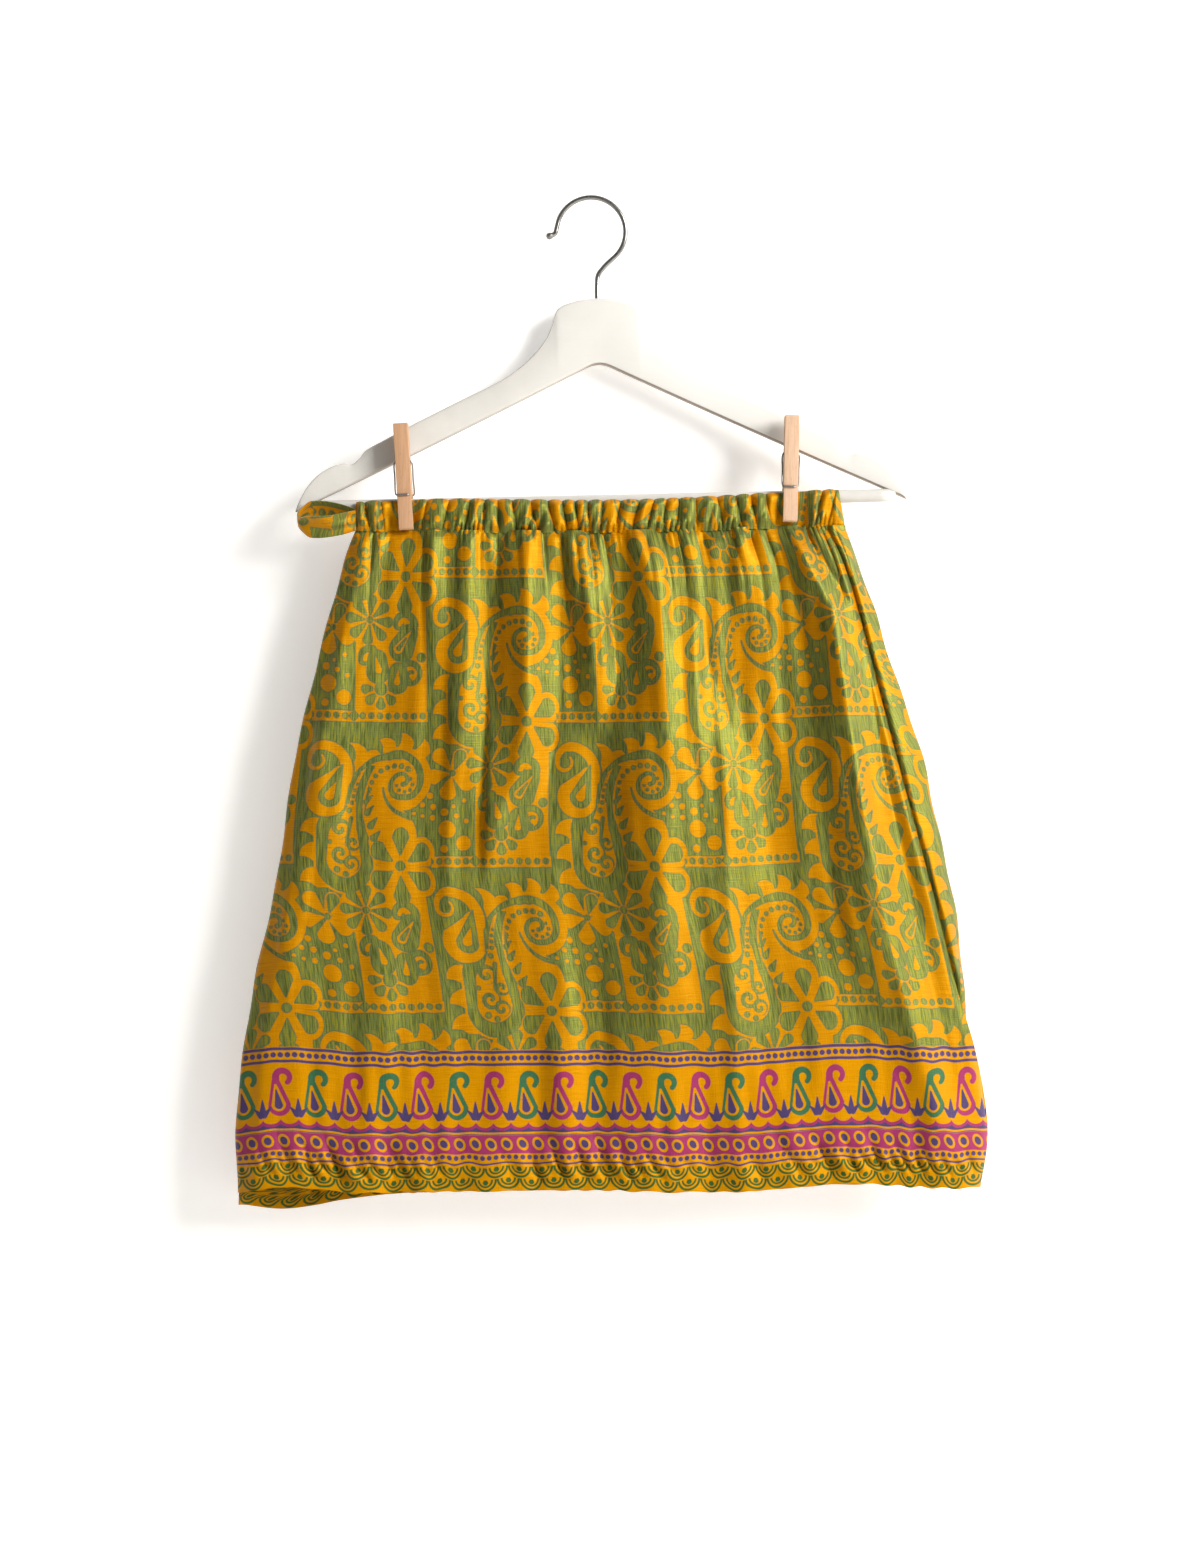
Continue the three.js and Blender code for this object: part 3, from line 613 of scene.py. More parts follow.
def row_places(count, border_share):
    """Rows down a panel, closer at the waist seam and the hem, with one on the border's line."""
    upper = int(count * 0.7)
    t = np.linspace(0, 1, upper + 1)
    field = border_share * (0.42 * t + 0.58 * t**1.9)
    s = np.linspace(0, 1, count - upper + 1)
    hem = border_share + (1 - border_share) * (0.5 * s + 0.5 * (1 - (1 - s) ** 1.5))
    return np.concatenate([field, hem[1:]]), upper


# ---------------------------------------------------------------- shader arithmetic


class Net:
    """Writes arithmetic on places as shader nodes. Numbers and sockets mix freely."""

    def __init__(self, name):
        self.material = bpy.data.materials.new(name)
        self.material.use_nodes = True
        self.tree = self.material.node_tree
        self.tree.nodes.clear()

    def node(self, kind, inputs=(), **settings):
        made = self.tree.nodes.new(kind)
        for key, value in settings.items():
            setattr(made, key, value)
        for key, value in dict(inputs).items():
            self.feed(made.inputs[key], value)
        return made

    def feed(self, socket, value):
        if isinstance(value, bpy.types.NodeSocket):
            self.tree.links.new(value, socket)
        else:
            socket.default_value = value

    def math(self, operation, *inputs, clamp=False):
        made = self.node("ShaderNodeMath", enumerate(inputs), operation=operation)
        made.use_clamp = clamp
        return made.outputs[0]

    def vector(self, operation, *inputs):
        inputs = [(*value, 0) if isinstance(value, tuple) and len(value) == 2 else value for value in inputs]
        made = self.node("ShaderNodeVectorMath", enumerate(inputs), operation=operation)
        return made.outputs["Value" if operation in ("DISTANCE", "LENGTH", "DOT_PRODUCT") else "Vector"]

    add = partialmethod(math, "ADD")
    sub = partialmethod(math, "SUBTRACT")
    mul = partialmethod(math, "MULTIPLY")
    size = partialmethod(math, "ABSOLUTE")
    line = partialmethod(math, "MULTIPLY_ADD")  # of a value, its slope and its start

    def wrap(self, a, half):
        """A value brought within half a repeat of nothing."""
        return self.math("WRAP", a, half, -half)

    def outside(self, shape):
        """A signed distance turned over, negative outside the shape."""
        return self.mul(shape, -1.0)

    def within(self, a, half):
        """Distance of a value from the band that reaches half to each side of nothing."""
        return self.sub(self.size(a), half)

    def least(self, *values):
        return reduce(lambda a, b: self.math("MINIMUM", a, b), values)

    def most(self, *values):
        return reduce(lambda a, b: self.math("MAXIMUM", a, b), values)

    def place(self, x, y):
        return self.node("ShaderNodeCombineXYZ", ((0, x), (1, y))).outputs[0]

    def along(self, vector, direction):
        return self.vector("DOT_PRODUCT", vector, direction)

    def reach(self, x, y):
        """Length from nothing to a place."""
        return self.vector("LENGTH", self.place(x, y))

    def parts(self, vector):
        return self.along(vector, (1, 0, 0)), self.along(vector, (0, 1, 0))

    def mix(self, share, a, b):
        made = self.node("ShaderNodeMix", ((0, share), (6, a), (7, b)), data_type="RGBA")
        return made.outputs[2]

    def ramp(self, value, *stops):
        made = self.node("ShaderNodeValToRGB", ((0, value),))
        colours = made.color_ramp.elements
        while len(colours) < len(stops):
            colours.new(0.5)
        for colour, (place, tint) in zip(colours, stops):
            colour.position = place
            colour.color = tint
        return made.outputs[0]

    def noise(self, vector, scale, detail=2.0, rough=0.5):
        """Noise at one scale, or stretched by a scale along each axis."""
        if isinstance(scale, tuple):
            vector, scale = self.vector("MULTIPLY", vector, scale), 1.0
        inputs = (("Vector", vector), ("Scale", scale), ("Detail", detail), ("Roughness", rough))
        return self.node("ShaderNodeTexNoise", inputs).outputs["Fac"]

    def own_place(self):
        return self.node("ShaderNodeTexCoord").outputs["Object"]

    def bump(self, height, strength, distance):
        inputs = (("Strength", strength), ("Distance", distance), ("Height", height))
        return self.node("ShaderNodeBump", inputs).outputs[0]

    def output(self, surface):
        self.node("ShaderNodeOutputMaterial", ((0, surface.outputs[0]),))
        return self.material

    def finish(self, *inputs):
        """The finished material, with a Principled shader."""
        return self.output(self.node("ShaderNodeBsdfPrincipled", inputs))

    def step(self, value, soft_edge=0.25):
        """1 where a distance is below nothing, 0 where it is above."""
        return self.line(value, -0.5 / soft_edge, 0.5, clamp=True)

    # Distances from shapes, in millimetres, negative inside.

    def disc(self, p, centre, radius):
        return self.sub(self.vector("DISTANCE", p, centre), radius)

    def drop(self, p, a, radius_a, b, radius_b):
        """A straight tapering drop with round ends."""
        a, b = Vector(a), Vector(b)
        step = b - a
        reach = step / step.length_squared
        t = self.math("ADD", self.along(p, (reach.x, reach.y, 0)), -reach.dot(a), clamp=True)
        near = self.vector("MULTIPLY_ADD", t, (step.x, step.y, 0), (a.x, a.y, 0))
        return self.sub(self.vector("DISTANCE", p, near), self.line(t, radius_b - radius_a, radius_a))

    def polar(self, p, centre):
        """Distance and angle from a centre."""
        q = self.vector("SUBTRACT", p, centre)
        x, y = self.parts(q)
        return self.vector("LENGTH", q), self.math("ARCTAN2", y, x)

    def arc(self, p, centre, radius, start, stop, half_start, half_stop):
        """A band along an arc from one angle to another in degrees, with a half width at each end."""
        middle, half = math.radians((start + stop) / 2), math.radians(abs(stop - start) / 2)
        away, angle = self.polar(p, centre)
        turned = self.wrap(self.sub(angle, middle), math.pi)
        held = self.least(self.most(turned, -half), half)
        slack = self.sub(turned, held)
        beside = self.sub(self.mul(away, self.math("COSINE", slack)), radius)
        beyond = self.mul(away, self.math("SINE", slack))
        distance = self.reach(beside, beyond)
        sign = 1 if stop > start else -1
        width = self.line(held, sign * (half_stop - half_start) / (2 * half), (half_start + half_stop) / 2)
        return self.sub(distance, width)

    def spiral(self, p, centre, pitch, start, width, grow, reach):
        """A band on a spiral that opens counter-clockwise by pitch a turn, or clockwise if negative."""
        away, angle = self.polar(p, centre)
        turn = self.line(angle, -pitch / (2 * math.pi), -start)
        offset = self.wrap(self.add(away, turn), abs(pitch) / 2)
        band = self.sub(self.size(offset), self.line(away, grow, width))
        return self.most(band, self.sub(away, reach))

    def petals(self, p, centre, count, turn, inner, outer, radius_inner, radius_outer):
        """Drops around a centre, thin inside and round outside."""
        away, angle = self.polar(p, centre)
        half = math.pi / count
        local = self.wrap(self.sub(angle, math.radians(turn)), half)
        x = self.mul(away, self.math("COSINE", local))
        y = self.mul(away, self.math("SINE", local))
        t = self.line(x, 1 / (outer - inner), -inner / (outer - inner), clamp=True)
        beside = self.sub(x, self.line(t, outer - inner, inner))
        distance = self.reach(beside, y)
        return self.sub(distance, self.line(t, radius_outer - radius_inner, radius_inner))

    def box(self, p, centre, half):
        q = self.vector("ABSOLUTE", self.vector("SUBTRACT", p, centre))
        x, y = self.parts(self.vector("SUBTRACT", q, half))
        return self.most(x, y)


# ---------------------------------------------------------------- printed pattern

REPEAT = 188.0  # across
DROP = 105.4  # down, with every second row moved half a repeat across
FIELD_AT = (0.6, 236.2)  # cloth coordinates of one large flower
HOOKED_PITCH, HOOKED_START = 24.9, 48.0  # hooked paisleys of the border, across

YELLOW_LIGHT = (0.46, 0.178, 0.0005, 1)
YELLOW_DARK = (0.36, 0.128, 0.0003, 1)
YELLOW_SHEEN = (1.0, 0.66, 0.02, 1)
BORDER_YELLOW = (0.56, 0.27, 0.001, 1)
GREEN_LIGHT = (0.168, 0.153, 0.010, 1)
GREEN_GREY = (0.086, 0.116, 0.036, 1)
GREEN_DARK = (0.030, 0.050, 0.011, 1)
GREEN_SHEEN = (0.74, 0.75, 0.10, 1)
TEAL = (0.030, 0.082, 0.050, 1)
BLUE = (0.052, 0.036, 0.105, 1)
MAGENTA = (0.245, 0.026, 0.092, 1)
HEM_GREEN = (0.028, 0.075, 0.018, 1)
SPRING_GREEN = (0.030, 0.105, 0.050, 1)


def window(net, p, centre):
    """The place in the repeat whose window around centre it falls into."""
    x, y = net.parts(net.vector("SUBTRACT", p, centre))
    row = net.math("ROUND", net.mul(y, 1 / DROP))
    x = net.wrap(net.line(row, -REPEAT / 2, x), REPEAT / 2)
    y = net.line(row, -DROP, y)
    return net.place(net.add(x, centre[0]), net.add(y, centre[1]))


def fins(net, x, y, pitch, height, lean):
    """A row of curling fins along x, standing up from y nothing, with tips towards smaller x."""
    p = net.place(net.wrap(x, pitch / 2), y)
    round_side = net.disc(p, (-lean * 0.25, -height * 0.12), height * 0.98)
    hollow = net.disc(p, (-pitch * 0.78, height * 0.62), pitch * 0.62)
    return net.most(round_side, net.outside(hollow))


def paisley_field(net, p):
    """Signed distance from the green of the print, negative in the green.

    The repeat is one large paisley with a hooked crown, a six-petalled flower at its foot, and a
    yellow block with small paisleys and a flower, above a band of beads. Each window is a place in
    the repeat, as seen from the nearest large flower.
    """
    p = net.vector("SUBTRACT", p, FIELD_AT)
    flower = window(net, p, (0, 0))
    crown = window(net, p, (-28, 66))
    body = window(net, p, (-45, 20))
    block = window(net, p, (-30, -62))
    green = net.least(net.outside(net.vector("LENGTH", flower)), -6.0)
    arc, box, disc, drop, petals, within = net.arc, net.box, net.disc, net.drop, net.petals, net.within

    def yellow_over(*shapes):
        nonlocal green
        for shape in shapes:
            green = net.most(green, net.outside(shape))

    def green_over(*shapes):
        nonlocal green
        green = net.least(green, *shapes)

    # Yellow grounds: round the large flower, the block and the bead band.
    narrow = net.vector("MULTIPLY", flower, (1.17, 1, 0))
    large = petals(narrow, (0, 0), 6, 28, 8.6, 20.8, 0.9, 7.0)
    yellow_over(net.sub(large, 4.8), disc(flower, (-8, 22), 20.5), drop(flower, (-14, 30), 13, (-9, 54), 15))
    block_x, block_y = net.parts(block)
    yellow_over(box(block, (-11.0, -60.0), (27.8, 45.0)), box(block, (-27, -102.2), (44.5, 4.2)))
    yellow_over(disc(block, (-28, -32), 19.4))
    # A five-petalled flower, the disc beside it, and dots round them.
    yellow_over(
        drop(block, (-57.2, -36.0), 0.9, (-66.6, -25.1), 6.0),
        drop(block, (-58.6, -38.2), 0.9, (-69.6, -40.1), 5.9),
        drop(block, (-56.6, -40.4), 0.9, (-59.1, -51.1), 6.6),
        drop(block, (-54.0, -39.2), 2.9, (-45.6, -44.1), 6.8),
        drop(block, (-55.6, -36.0), 2.9, (-50.8, -25.6), 6.2),
        disc(block, (-46.8, -32.6), 7.2),
    )
    for x, y, radius in (
        (-59.1, -78.6, 6.6), (-47.1, -88.6, 5.8), (-61.1, -92.9, 3.2), (-61.1, -66.1, 3.2),
        (-72.6, -54.1, 2.7), (-77.9, -61.1, 2.2), (-69.9, -62.1, 2.6), (-84.1, -67.1, 1.8),
        (-77.6, -69.1, 1.8), (-70.1, -70.1, 2.4), (-52.3, -68.6, 2.2), (-54.6, -61.8, 1.8),
        (-46.8, -57.6, 2.0), (-44.9, -72.6, 2.1),
    ):
        yellow_over(disc(block, (x, y), radius))

    # The large paisley: crown with its curling fins, and the body's margin with side fins.
    away, angle = net.polar(crown, (-1.6, 63.5))
    turned = net.line(angle, 29.0, -29.0 * math.radians(117))
    row = fins(net, net.mul(turned, -1.0), net.sub(away, 23.0), 15.6, 12.2, 9)
    ground = net.sub(away, 23.8)
    yellow_over(ground, net.most(row, within(net.add(turned, 8.0), 31), net.sub(away, 37)))
    crown_y = net.parts(crown)[1]
    first = net.most(disc(crown, (-39, 76.5), 13.2), net.outside(disc(crown, (-48, 79.5), 11.5)))
    yellow_over(net.most(first, net.line(crown_y, -1.0, 67.0)))
    shell = net.least(
        drop(body, (-40.1, 1.3), 20.3, (-43.1, 26), 17.6),
        arc(body, (24.7, 44.3), 56.0, 206, 150, 2.9, 2.5),
    )
    yellow_over(net.sub(shell, 2.2))
    body_x, body_y = net.parts(body)
    side = fins(net, net.add(body_y, -8.0), net.line(body_x, -1.0, -63.5), 18.0, 10.8, 8)
    side = net.most(side, within(net.sub(body_y, 9.0), 26), net.add(body_x, 40.0))
    yellow_over(net.most(side, net.line(body_x, -1.0, -77.0)))

    # Green drawing on it.
    green_over(shell)
    yellow_over(net.sub(large, 1.4))
    green_over(large)
    green_over(
        arc(crown, (-5.6, 42.8), 37.8, 144, 86, 1.0, 2.9),
        arc(crown, (-4.2, 63.5), 17.7, 112, 0, 2.8, 2.3),
        arc(crown, (1.8, 61.5), 11.6, 12, -100, 2.3, 1.8),
        arc(crown, (0.0, 58.4), 8.6, -90, -262, 1.8, 1.3),
        arc(crown, (-0.2, 63.0), 3.9, 95, -80, 1.2, 1.5),
        arc(crown, (10.7, 60.2), 24.9, 188, 268, 0.5, 1.7),
    )
    # Beads along the crown and round its eye.
    away, angle = net.polar(crown, (-5.1, 54.3))
    pitch = math.radians(16.5)
    bead = net.mul(net.wrap(net.add(angle, -1.651), pitch / 2), away)
    beads = net.sub(net.reach(net.sub(away, 18.6), bead), net.line(angle, -0.33, 2.35))
    green_over(net.most(beads, net.mul(within(net.sub(angle, 2.06), 1.14), 18.0)))
    away, angle = net.polar(crown, (1.8, 59.6))
    pitch = math.radians(43)
    bead = net.mul(net.wrap(angle, pitch / 2), away)
    beads = net.sub(net.reach(net.sub(away, 5.9), bead), 1.2)
    green_over(net.most(beads, net.mul(within(net.add(angle, 1.1), 1.95), 6.0)))
    # Leaves along the stem.
    green_over(
        drop(body, (-26.0, 46.6), 1.9, (-21.6, 50.8), 0.4),
        drop(body, (-24.3, 38.6), 2.4, (-20.2, 43.4), 0.4),
        drop(body, (-21.4, 29.2), 2.6, (-17.2, 34.8), 0.4),
        drop(body, (-18.8, 20.2), 2.7, (-14.6, 25.2), 0.4),
    )
    # Bead band with its diamond.
    band_x = net.wrap(net.add(block_x, 39.1), 3.27)
    band = net.sub(net.reach(band_x, net.add(block_y, 101.8)), 2.25)
    reach = within(net.add(block_x, 27.5), 43.5)
    reach = net.most(reach, net.sub(3.4, net.size(net.add(block_x, 39.1))))
    green_over(net.most(band, reach))
    x, y = net.parts(net.vector("ABSOLUTE", net.vector("SUBTRACT", block, (-39.1, -101.8))))
    green_over(net.sub(net.add(x, y), 4.3))
    # Flower, small paisleys, half flower and a disc on the block.
    green_over(petals(block, (-28, -32), 8, -6, 4.4, 14.4, 0.8, 3.8))
    small = net.least(
        drop(block, (-3.1, -52.6), 9.8, (2.9, -41.6), 6.8),
        arc(block, (-0.6, -35.1), 7.5, -40, 178, 3.3, 1.7),
        arc(block, (-4.9, -34.7), 3.3, 178, 345, 1.6, 0.9),
        drop(block, (-21.6, -69.6), 8.8, (-22.1, -61.1), 7.5),
        arc(block, (-28.4, -59.6), 6.6, 66, 190, 3.0, 1.6),
        arc(block, (-31.8, -60.8), 3.2, 186, 345, 1.6, 0.9),
        drop(block, (-6.1, -78.1), 7.6, (-5.8, -70.1), 7.2),
        arc(block, (3.4, -70.6), 7.6, 150, -100, 2.5, 1.3),
        arc(block, (4.7, -72.9), 3.3, -110, -290, 1.4, 1.0),
    )
    green_over(small, disc(block, (12.4, -59.1), 3.4))
    half_flower = petals(block, (-19.1, -82.1), 8, 0, 7.6, 11.4, 1.7, 3.6)
    green_over(net.most(half_flower, net.add(block_y, 79.4)), disc(block, (-19.1, -82.1), 4.7))
    green_over(drop(block, (-54.3, -34.0), 0.8, (-50.8, -25.3), 4.4))

    # Yellow inside the green.
    for core in (
        ((-40.6, 4.3), 12.8, (-41.3, 21.6), 10.8),
        ((-39.0, 28.0), 7.4, (-35.8, 45.0), 3.0),
    ):
        yellow_over(drop(body, *core))
    yellow_over(arc(body, (24.7, 44.3), 60.9, 183, 157, 2.9, 0.3))
    hook = net.least(
        drop(crown, (-55, 50.4), 15.8, (-46.2, 64.4), 8.0),
        arc(crown, (-60.6, 67.9), 18.9, 92, -15, 3.7, 4.7),
        arc(crown, (-60.6, 77.2), 9.9, 88, 188, 3.6, 2.0),
        arc(crown, (-65.0, 75.4), 5.6, 176, 405, 2.0, 1.1),
    )
    green_over(net.sub(hook, 1.0))
    yellow_over(hook)
    for core in (
        ((-5.8, -53.0), 3.8, (4.4, -39.8), 0.6),
        ((-21.0, -68.4), 2.8, (-23.3, -58.8), 0.5),
        ((-6.6, -77.0), 2.7, (-5.9, -68.2), 0.5),
    ):
        yellow_over(drop(block, *core))

    # Green again: scrolls, neck beads, the hooked paisley's core and the flowers' centres.
    green_over(
        net.spiral(body, (-43.6, 26.8), -6.4, 1.0, 1.4, 0.0, 7.0),
        net.spiral(body, (-33.8, 16.8), 5.4, 1.0, 1.2, 0.0, 5.4),
        net.spiral(body, (-43.1, 8.8), 6.3, 1.4, 1.4, 0.0, 7.2),
        net.spiral(body, (-35.6, 1.8), -5.6, 0.8, 1.2, 0.0, 5.8),
        disc(body, (-45.9, -2.9), 2.2),
        disc(body, (-39.6, -5.8), 2.0),
        disc(body, (-50.8, 16.8), 1.5),
        disc(body, (-38.0, 40.4), 1.9),
        drop(body, (-38.8, 17.0), 0.9, (-36.2, 34.6), 1.4),
        disc(body, (-36.3, 46.1), 1.4),
        disc(body, (-35.6, 50.6), 1.3),
        disc(body, (-34.8, 55.1), 1.15),
        disc(body, (-33.2, 59.3), 0.95),
    )
    green_over(drop(crown, (-52.8, 50.2), 8.0, (-45.4, 73.0), 0.5))
    green_over(net.most(disc(flower, (0, 0), 3.5), net.outside(disc(flower, (0, 0), 1.6))))
    green_over(disc(block, (-28, -32), 2.5), disc(block, (-56.1, -37.6), 2.1))
    green_over(drop(block, (-5.4, -52.6), 1.7, (0.6, -44.8), 0.4))
    yellow_over(drop(crown, (-53.0, 50.6), 3.9, (-48.8, 60.4), 0.5))
    return green


def field_colour(net, p, yellow, olive):
    """Two-tone paisley print with a dark outline and slightly uneven edges, and its sheen's tint."""
    wobble = net.noise(p, 0.55, 2.0, 0.6)
    green = net.line(wobble, 0.9, net.add(paisley_field(net, p), -0.45))
    share = net.step(green, 0.3)
    colour = net.mix(share, yellow, olive)
    outline = net.step(net.add(net.size(net.add(green, 0.1)), -0.5), 0.3)
    return net.mix(net.mul(outline, 0.72), colour, TEAL), net.mix(share, YELLOW_SHEEN, GREEN_SHEEN)


def border_band(net, p, yellow, olive):
    """The printed border: lines of dots, hooked paisleys, scallops, a ring band and a fish-scale hem."""
    x, y = net.parts(p)
    colour = yellow = net.mix(0.35, yellow, BORDER_YELLOW)

    def paint(shape, tint, soft_edge=0.35):
        nonlocal colour
        colour = net.mix(net.step(shape, soft_edge), colour, tint)

    def between(low, high):
        return net.within(net.add(y, -(low + high) / 2), (high - low) / 2)

    def repeat(pitch, start=0.0):
        return net.wrap(net.add(x, -start), pitch / 2)

    # Lines and lines of dots.
    paint(net.least(between(99.9, 102.1), between(91.0, 93.1)), BLUE)
    paint(net.disc(net.place(repeat(5.0), y), (0, 96.6), 2.0), BLUE)
    # Hooked paisleys, magenta and green by turns, with a three-leaf sprig between them.
    spot = net.place(repeat(HOOKED_PITCH, HOOKED_START), y)
    hooked = net.least(
        net.drop(spot, (-0.6, 60.0), 8.0, (-2.8, 77.6), 2.8),
        net.arc(spot, (2.2, 80.2), 4.9, 190, -48, 2.6, 1.8),
    )
    turn = net.wrap(net.add(x, -HOOKED_START), HOOKED_PITCH)
    magenta = net.step(net.add(net.size(turn), -HOOKED_PITCH / 2), 0.2)
    tint = net.mix(magenta, SPRING_GREEN, MAGENTA)
    paint(hooked, tint)
    paint(net.drop(spot, (-1.2, 60.6), 5.1, (-3.0, 74.4), 0.9), yellow)
    paint(net.drop(spot, (-1.1, 60.0), 3.0, (-2.7, 70.8), 0.6), BLUE)
    sprig = net.place(net.size(repeat(HOOKED_PITCH, HOOKED_START + HOOKED_PITCH / 2)), y)
    leaves = net.least(
        net.drop(sprig, (0, 54.2), 2.8, (0, 64.4), 0.5),
        net.drop(sprig, (1.2, 53.4), 2.3, (5.8, 58.4), 0.5),
    )
    paint(leaves, BLUE)
    # Scallops with dark corners under them, then the ring band.
    bow = net.disc(net.place(repeat(HOOKED_PITCH / 2, HOOKED_START + 6.2), y), (0, 53.4), 7.6)
    paint(net.most(between(42.8, 51.0), net.outside(bow)), BLUE)
    paint(net.most(net.within(net.add(bow, -0.7), 1.1), net.add(y, -51.4)), MAGENTA)
    paint(between(41.6, 42.7), yellow)
    paint(between(40.7, 41.4), BLUE)
    paint(between(27.2, 40.6), MAGENTA)
    ring_height, ring_lean = 34.2, 0.24
    leaning = net.line(y, ring_lean, net.line(repeat(11.2, 1.0), 1.16, -ring_lean * ring_height))
    ring = net.vector("DISTANCE", net.place(leaning, y), (0, ring_height))
    paint(net.add(ring, -4.75), yellow)
    paint(net.add(ring, -2.95), BLUE)
    paint(net.disc(net.place(repeat(4.75, 1.4), y), (0, 24.6), 1.75), BLUE)
    paint(between(19.6, 21.0), BLUE)
    # Fish-scale hem: bowls in two rows with a small wedge in each.
    for start, top in ((0.0, 17.8), (8.15, 9.0)):
        spot = net.place(repeat(16.3, start), y)
        away = net.vector("DISTANCE", spot, (0, top))
        bowls = net.least(
            net.within(net.add(away, -7.5), 0.8),
            net.within(net.add(away, -4.8), 0.7),
            net.drop(spot, (0, top - 1.7), 2.0, (0, top - 0.2), 1.2),
        )
        paint(net.most(bowls, net.add(y, -top)), HEM_GREEN, 0.3)
    return colour, net.mix(0.12, colour, YELLOW_SHEEN)


# ---------------------------------------------------------------- materials


def silk_material(name, paint):
    """Printed silk. paint gives its colour from the cloth coordinates and the two yarns."""
    net = Net(name)
    uv = net.node("ShaderNodeUVMap", uv_map="Cloth").outputs[0]
    p = net.vector("MULTIPLY", uv, (1000, 1000, 0))
    # Slubs of the green yarns run down the cloth, fine ribs of the yellow run across it.
    slub = net.line(net.noise(p, (0.95, 0.06, 0), 2.0, 0.55), 3.7, -1.35, clamp=True)
    ribs = net.line(net.noise(p, (0.05, 1.5, 0), 1.0, 0.5), 2.4, -0.7, clamp=True)
    olive = net.ramp(slub, (0, GREEN_DARK), (0.55, GREEN_GREY), (1, GREEN_LIGHT))
    olive = net.mix(net.mul(ribs, 0.06), olive, YELLOW_DARK)
    yellow = net.mix(ribs, YELLOW_DARK, YELLOW_LIGHT)
    colour, tint = paint(net, p, yellow, olive)
    weave = net.line(slub, 0.4, net.mul(ribs, 0.6))
    return net.finish(
        ("Base Color", colour), ("Roughness", 0.47), ("Normal", net.bump(weave, 0.3, 0.0005)),
        ("Specular Tint", tint), ("Specular IOR Level", 1.0),
    )


PAINT = (0.60, 0.58, 0.545, 1)
PAINT_STAINED = (0.535, 0.515, 0.475, 1)
PAINT_WORN = (0.50, 0.46, 0.40, 1)
# Painted light: a lighter tone for the right of the hanger, where the light falls.
PAINT_RIGHT_PAINTED_LIGHT = (0.735, 0.715, 0.675, 1)
# Painted shade: a dark tone for the undersides of the sloping right arm.
PAINT_UNDER_PAINTED_SHADE = (0.30, 0.25, 0.20, 1)


def painted_wood(name, paints_light_and_shade):
    """Worn white paint on wood; if asked, with painted light that makes it lighter to the right, and painted
    shade that makes it dark under a sloping right arm.
    """
    net = Net(name)
    at = net.own_place()
    streaks = net.noise(at, (60, 420, 420), 3.0, 0.6)
    stains = net.noise(at, 55.0, 3.0, 0.5)
    tone = net.mix(net.line(stains, 1.6, -0.5, clamp=True), PAINT_STAINED, PAINT)
    wear = net.line(streaks, 5.0, -3.1, clamp=True)
    tone = net.mix(net.mul(wear, 0.35), tone, PAINT_WORN)
    if paints_light_and_shade:
        # Painted light: the paint turns lighter towards the right.
        x = net.parts(at)[0]
        tone = net.mix(net.line(x, 6.5, 0.5, clamp=True), tone, PAINT_RIGHT_PAINTED_LIGHT)
        # Painted shade: faces turned downwards and to the left, as under the sloping right arm, are darkened.
        painted_shade_facing = net.along(net.node("ShaderNodeNewGeometry").outputs["Normal"], (-0.5, 0, -0.866))
        tone = net.mix(net.line(painted_shade_facing, 5.0, -1.9, clamp=True), tone, PAINT_UNDER_PAINTED_SHADE)
    relief = net.bump(streaks, 0.25, 0.0004)
    return net.finish(("Base Color", tone), ("Roughness", 0.42), ("Normal", relief))


def peg_material(name, light, dark):
    net = Net(name)
    at = net.own_place()
    rings = net.noise(at, (900, 500, 36), 3.0, 0.55)
    flecks = net.noise(at, (2600, 2600, 160), 1.0, 0.5)
    tone = net.mix(net.line(rings, 2.2, -0.6, clamp=True), light, dark)
    darker = tuple(c * 0.62 for c in dark[:3]) + (1,)
    tone = net.mix(net.line(flecks, 6.0, -3.9, clamp=True), tone, darker)
    relief = net.bump(rings, 0.3, 0.0003)
    return net.finish(("Base Color", tone), ("Roughness", 0.62), ("Normal", relief))


def steel_material():
    net = Net("steel")
    scratches = net.noise(net.own_place(), (900, 900, 300), 3.0, 0.6)
    tone = net.mix(scratches, (0.20, 0.195, 0.185, 1), (0.33, 0.32, 0.30, 1))
    rough = net.line(scratches, 0.14, 0.22)
    return net.finish(("Base Color", tone), ("Roughness", rough), ("Metallic", 1.0))


# ---------------------------------------------------------------- hanger, hook and pegs

# Upper edge of the hanger's arms: out from the middle, and height.
HANGER_EDGE_COLUMNS = ("out", "top")
HANGER_EDGE = np.array(
    [
        (0, 0), (10, -0.8), (20, -3), (27.5, -6), (31, -10), (33.5, -18.5), (39, -30), (48, -41), (60, -51.5),
        (75, -61), (105, -75.5), (135, -90.3), (162, -104.6), (173, -110.8), (178, -116.8), (183.5, -121),
        (189, -120.2), (198.5, -122.9), (208.5, -129.2), (216.5, -138.3), (222, -148), (225, -155),
    ]
)


def new_mesh(name, points, faces, materials, smooth=True):
    """A mesh object from places in millimetres."""
    mesh = bpy.data.meshes.new(name)
    mesh.from_pydata([tuple(c * MM for c in p) for p in points], [], [tuple(f) for f in faces])
    mesh.polygons.foreach_set("use_smooth", [smooth] * len(mesh.polygons))
    for material in materials:
        mesh.materials.append(material)
    mesh.validate()
    return linked(name, mesh)


def full_turn(count):
    """Angles of places evenly round a circle."""
    return np.arange(count) * 2 * math.pi / count


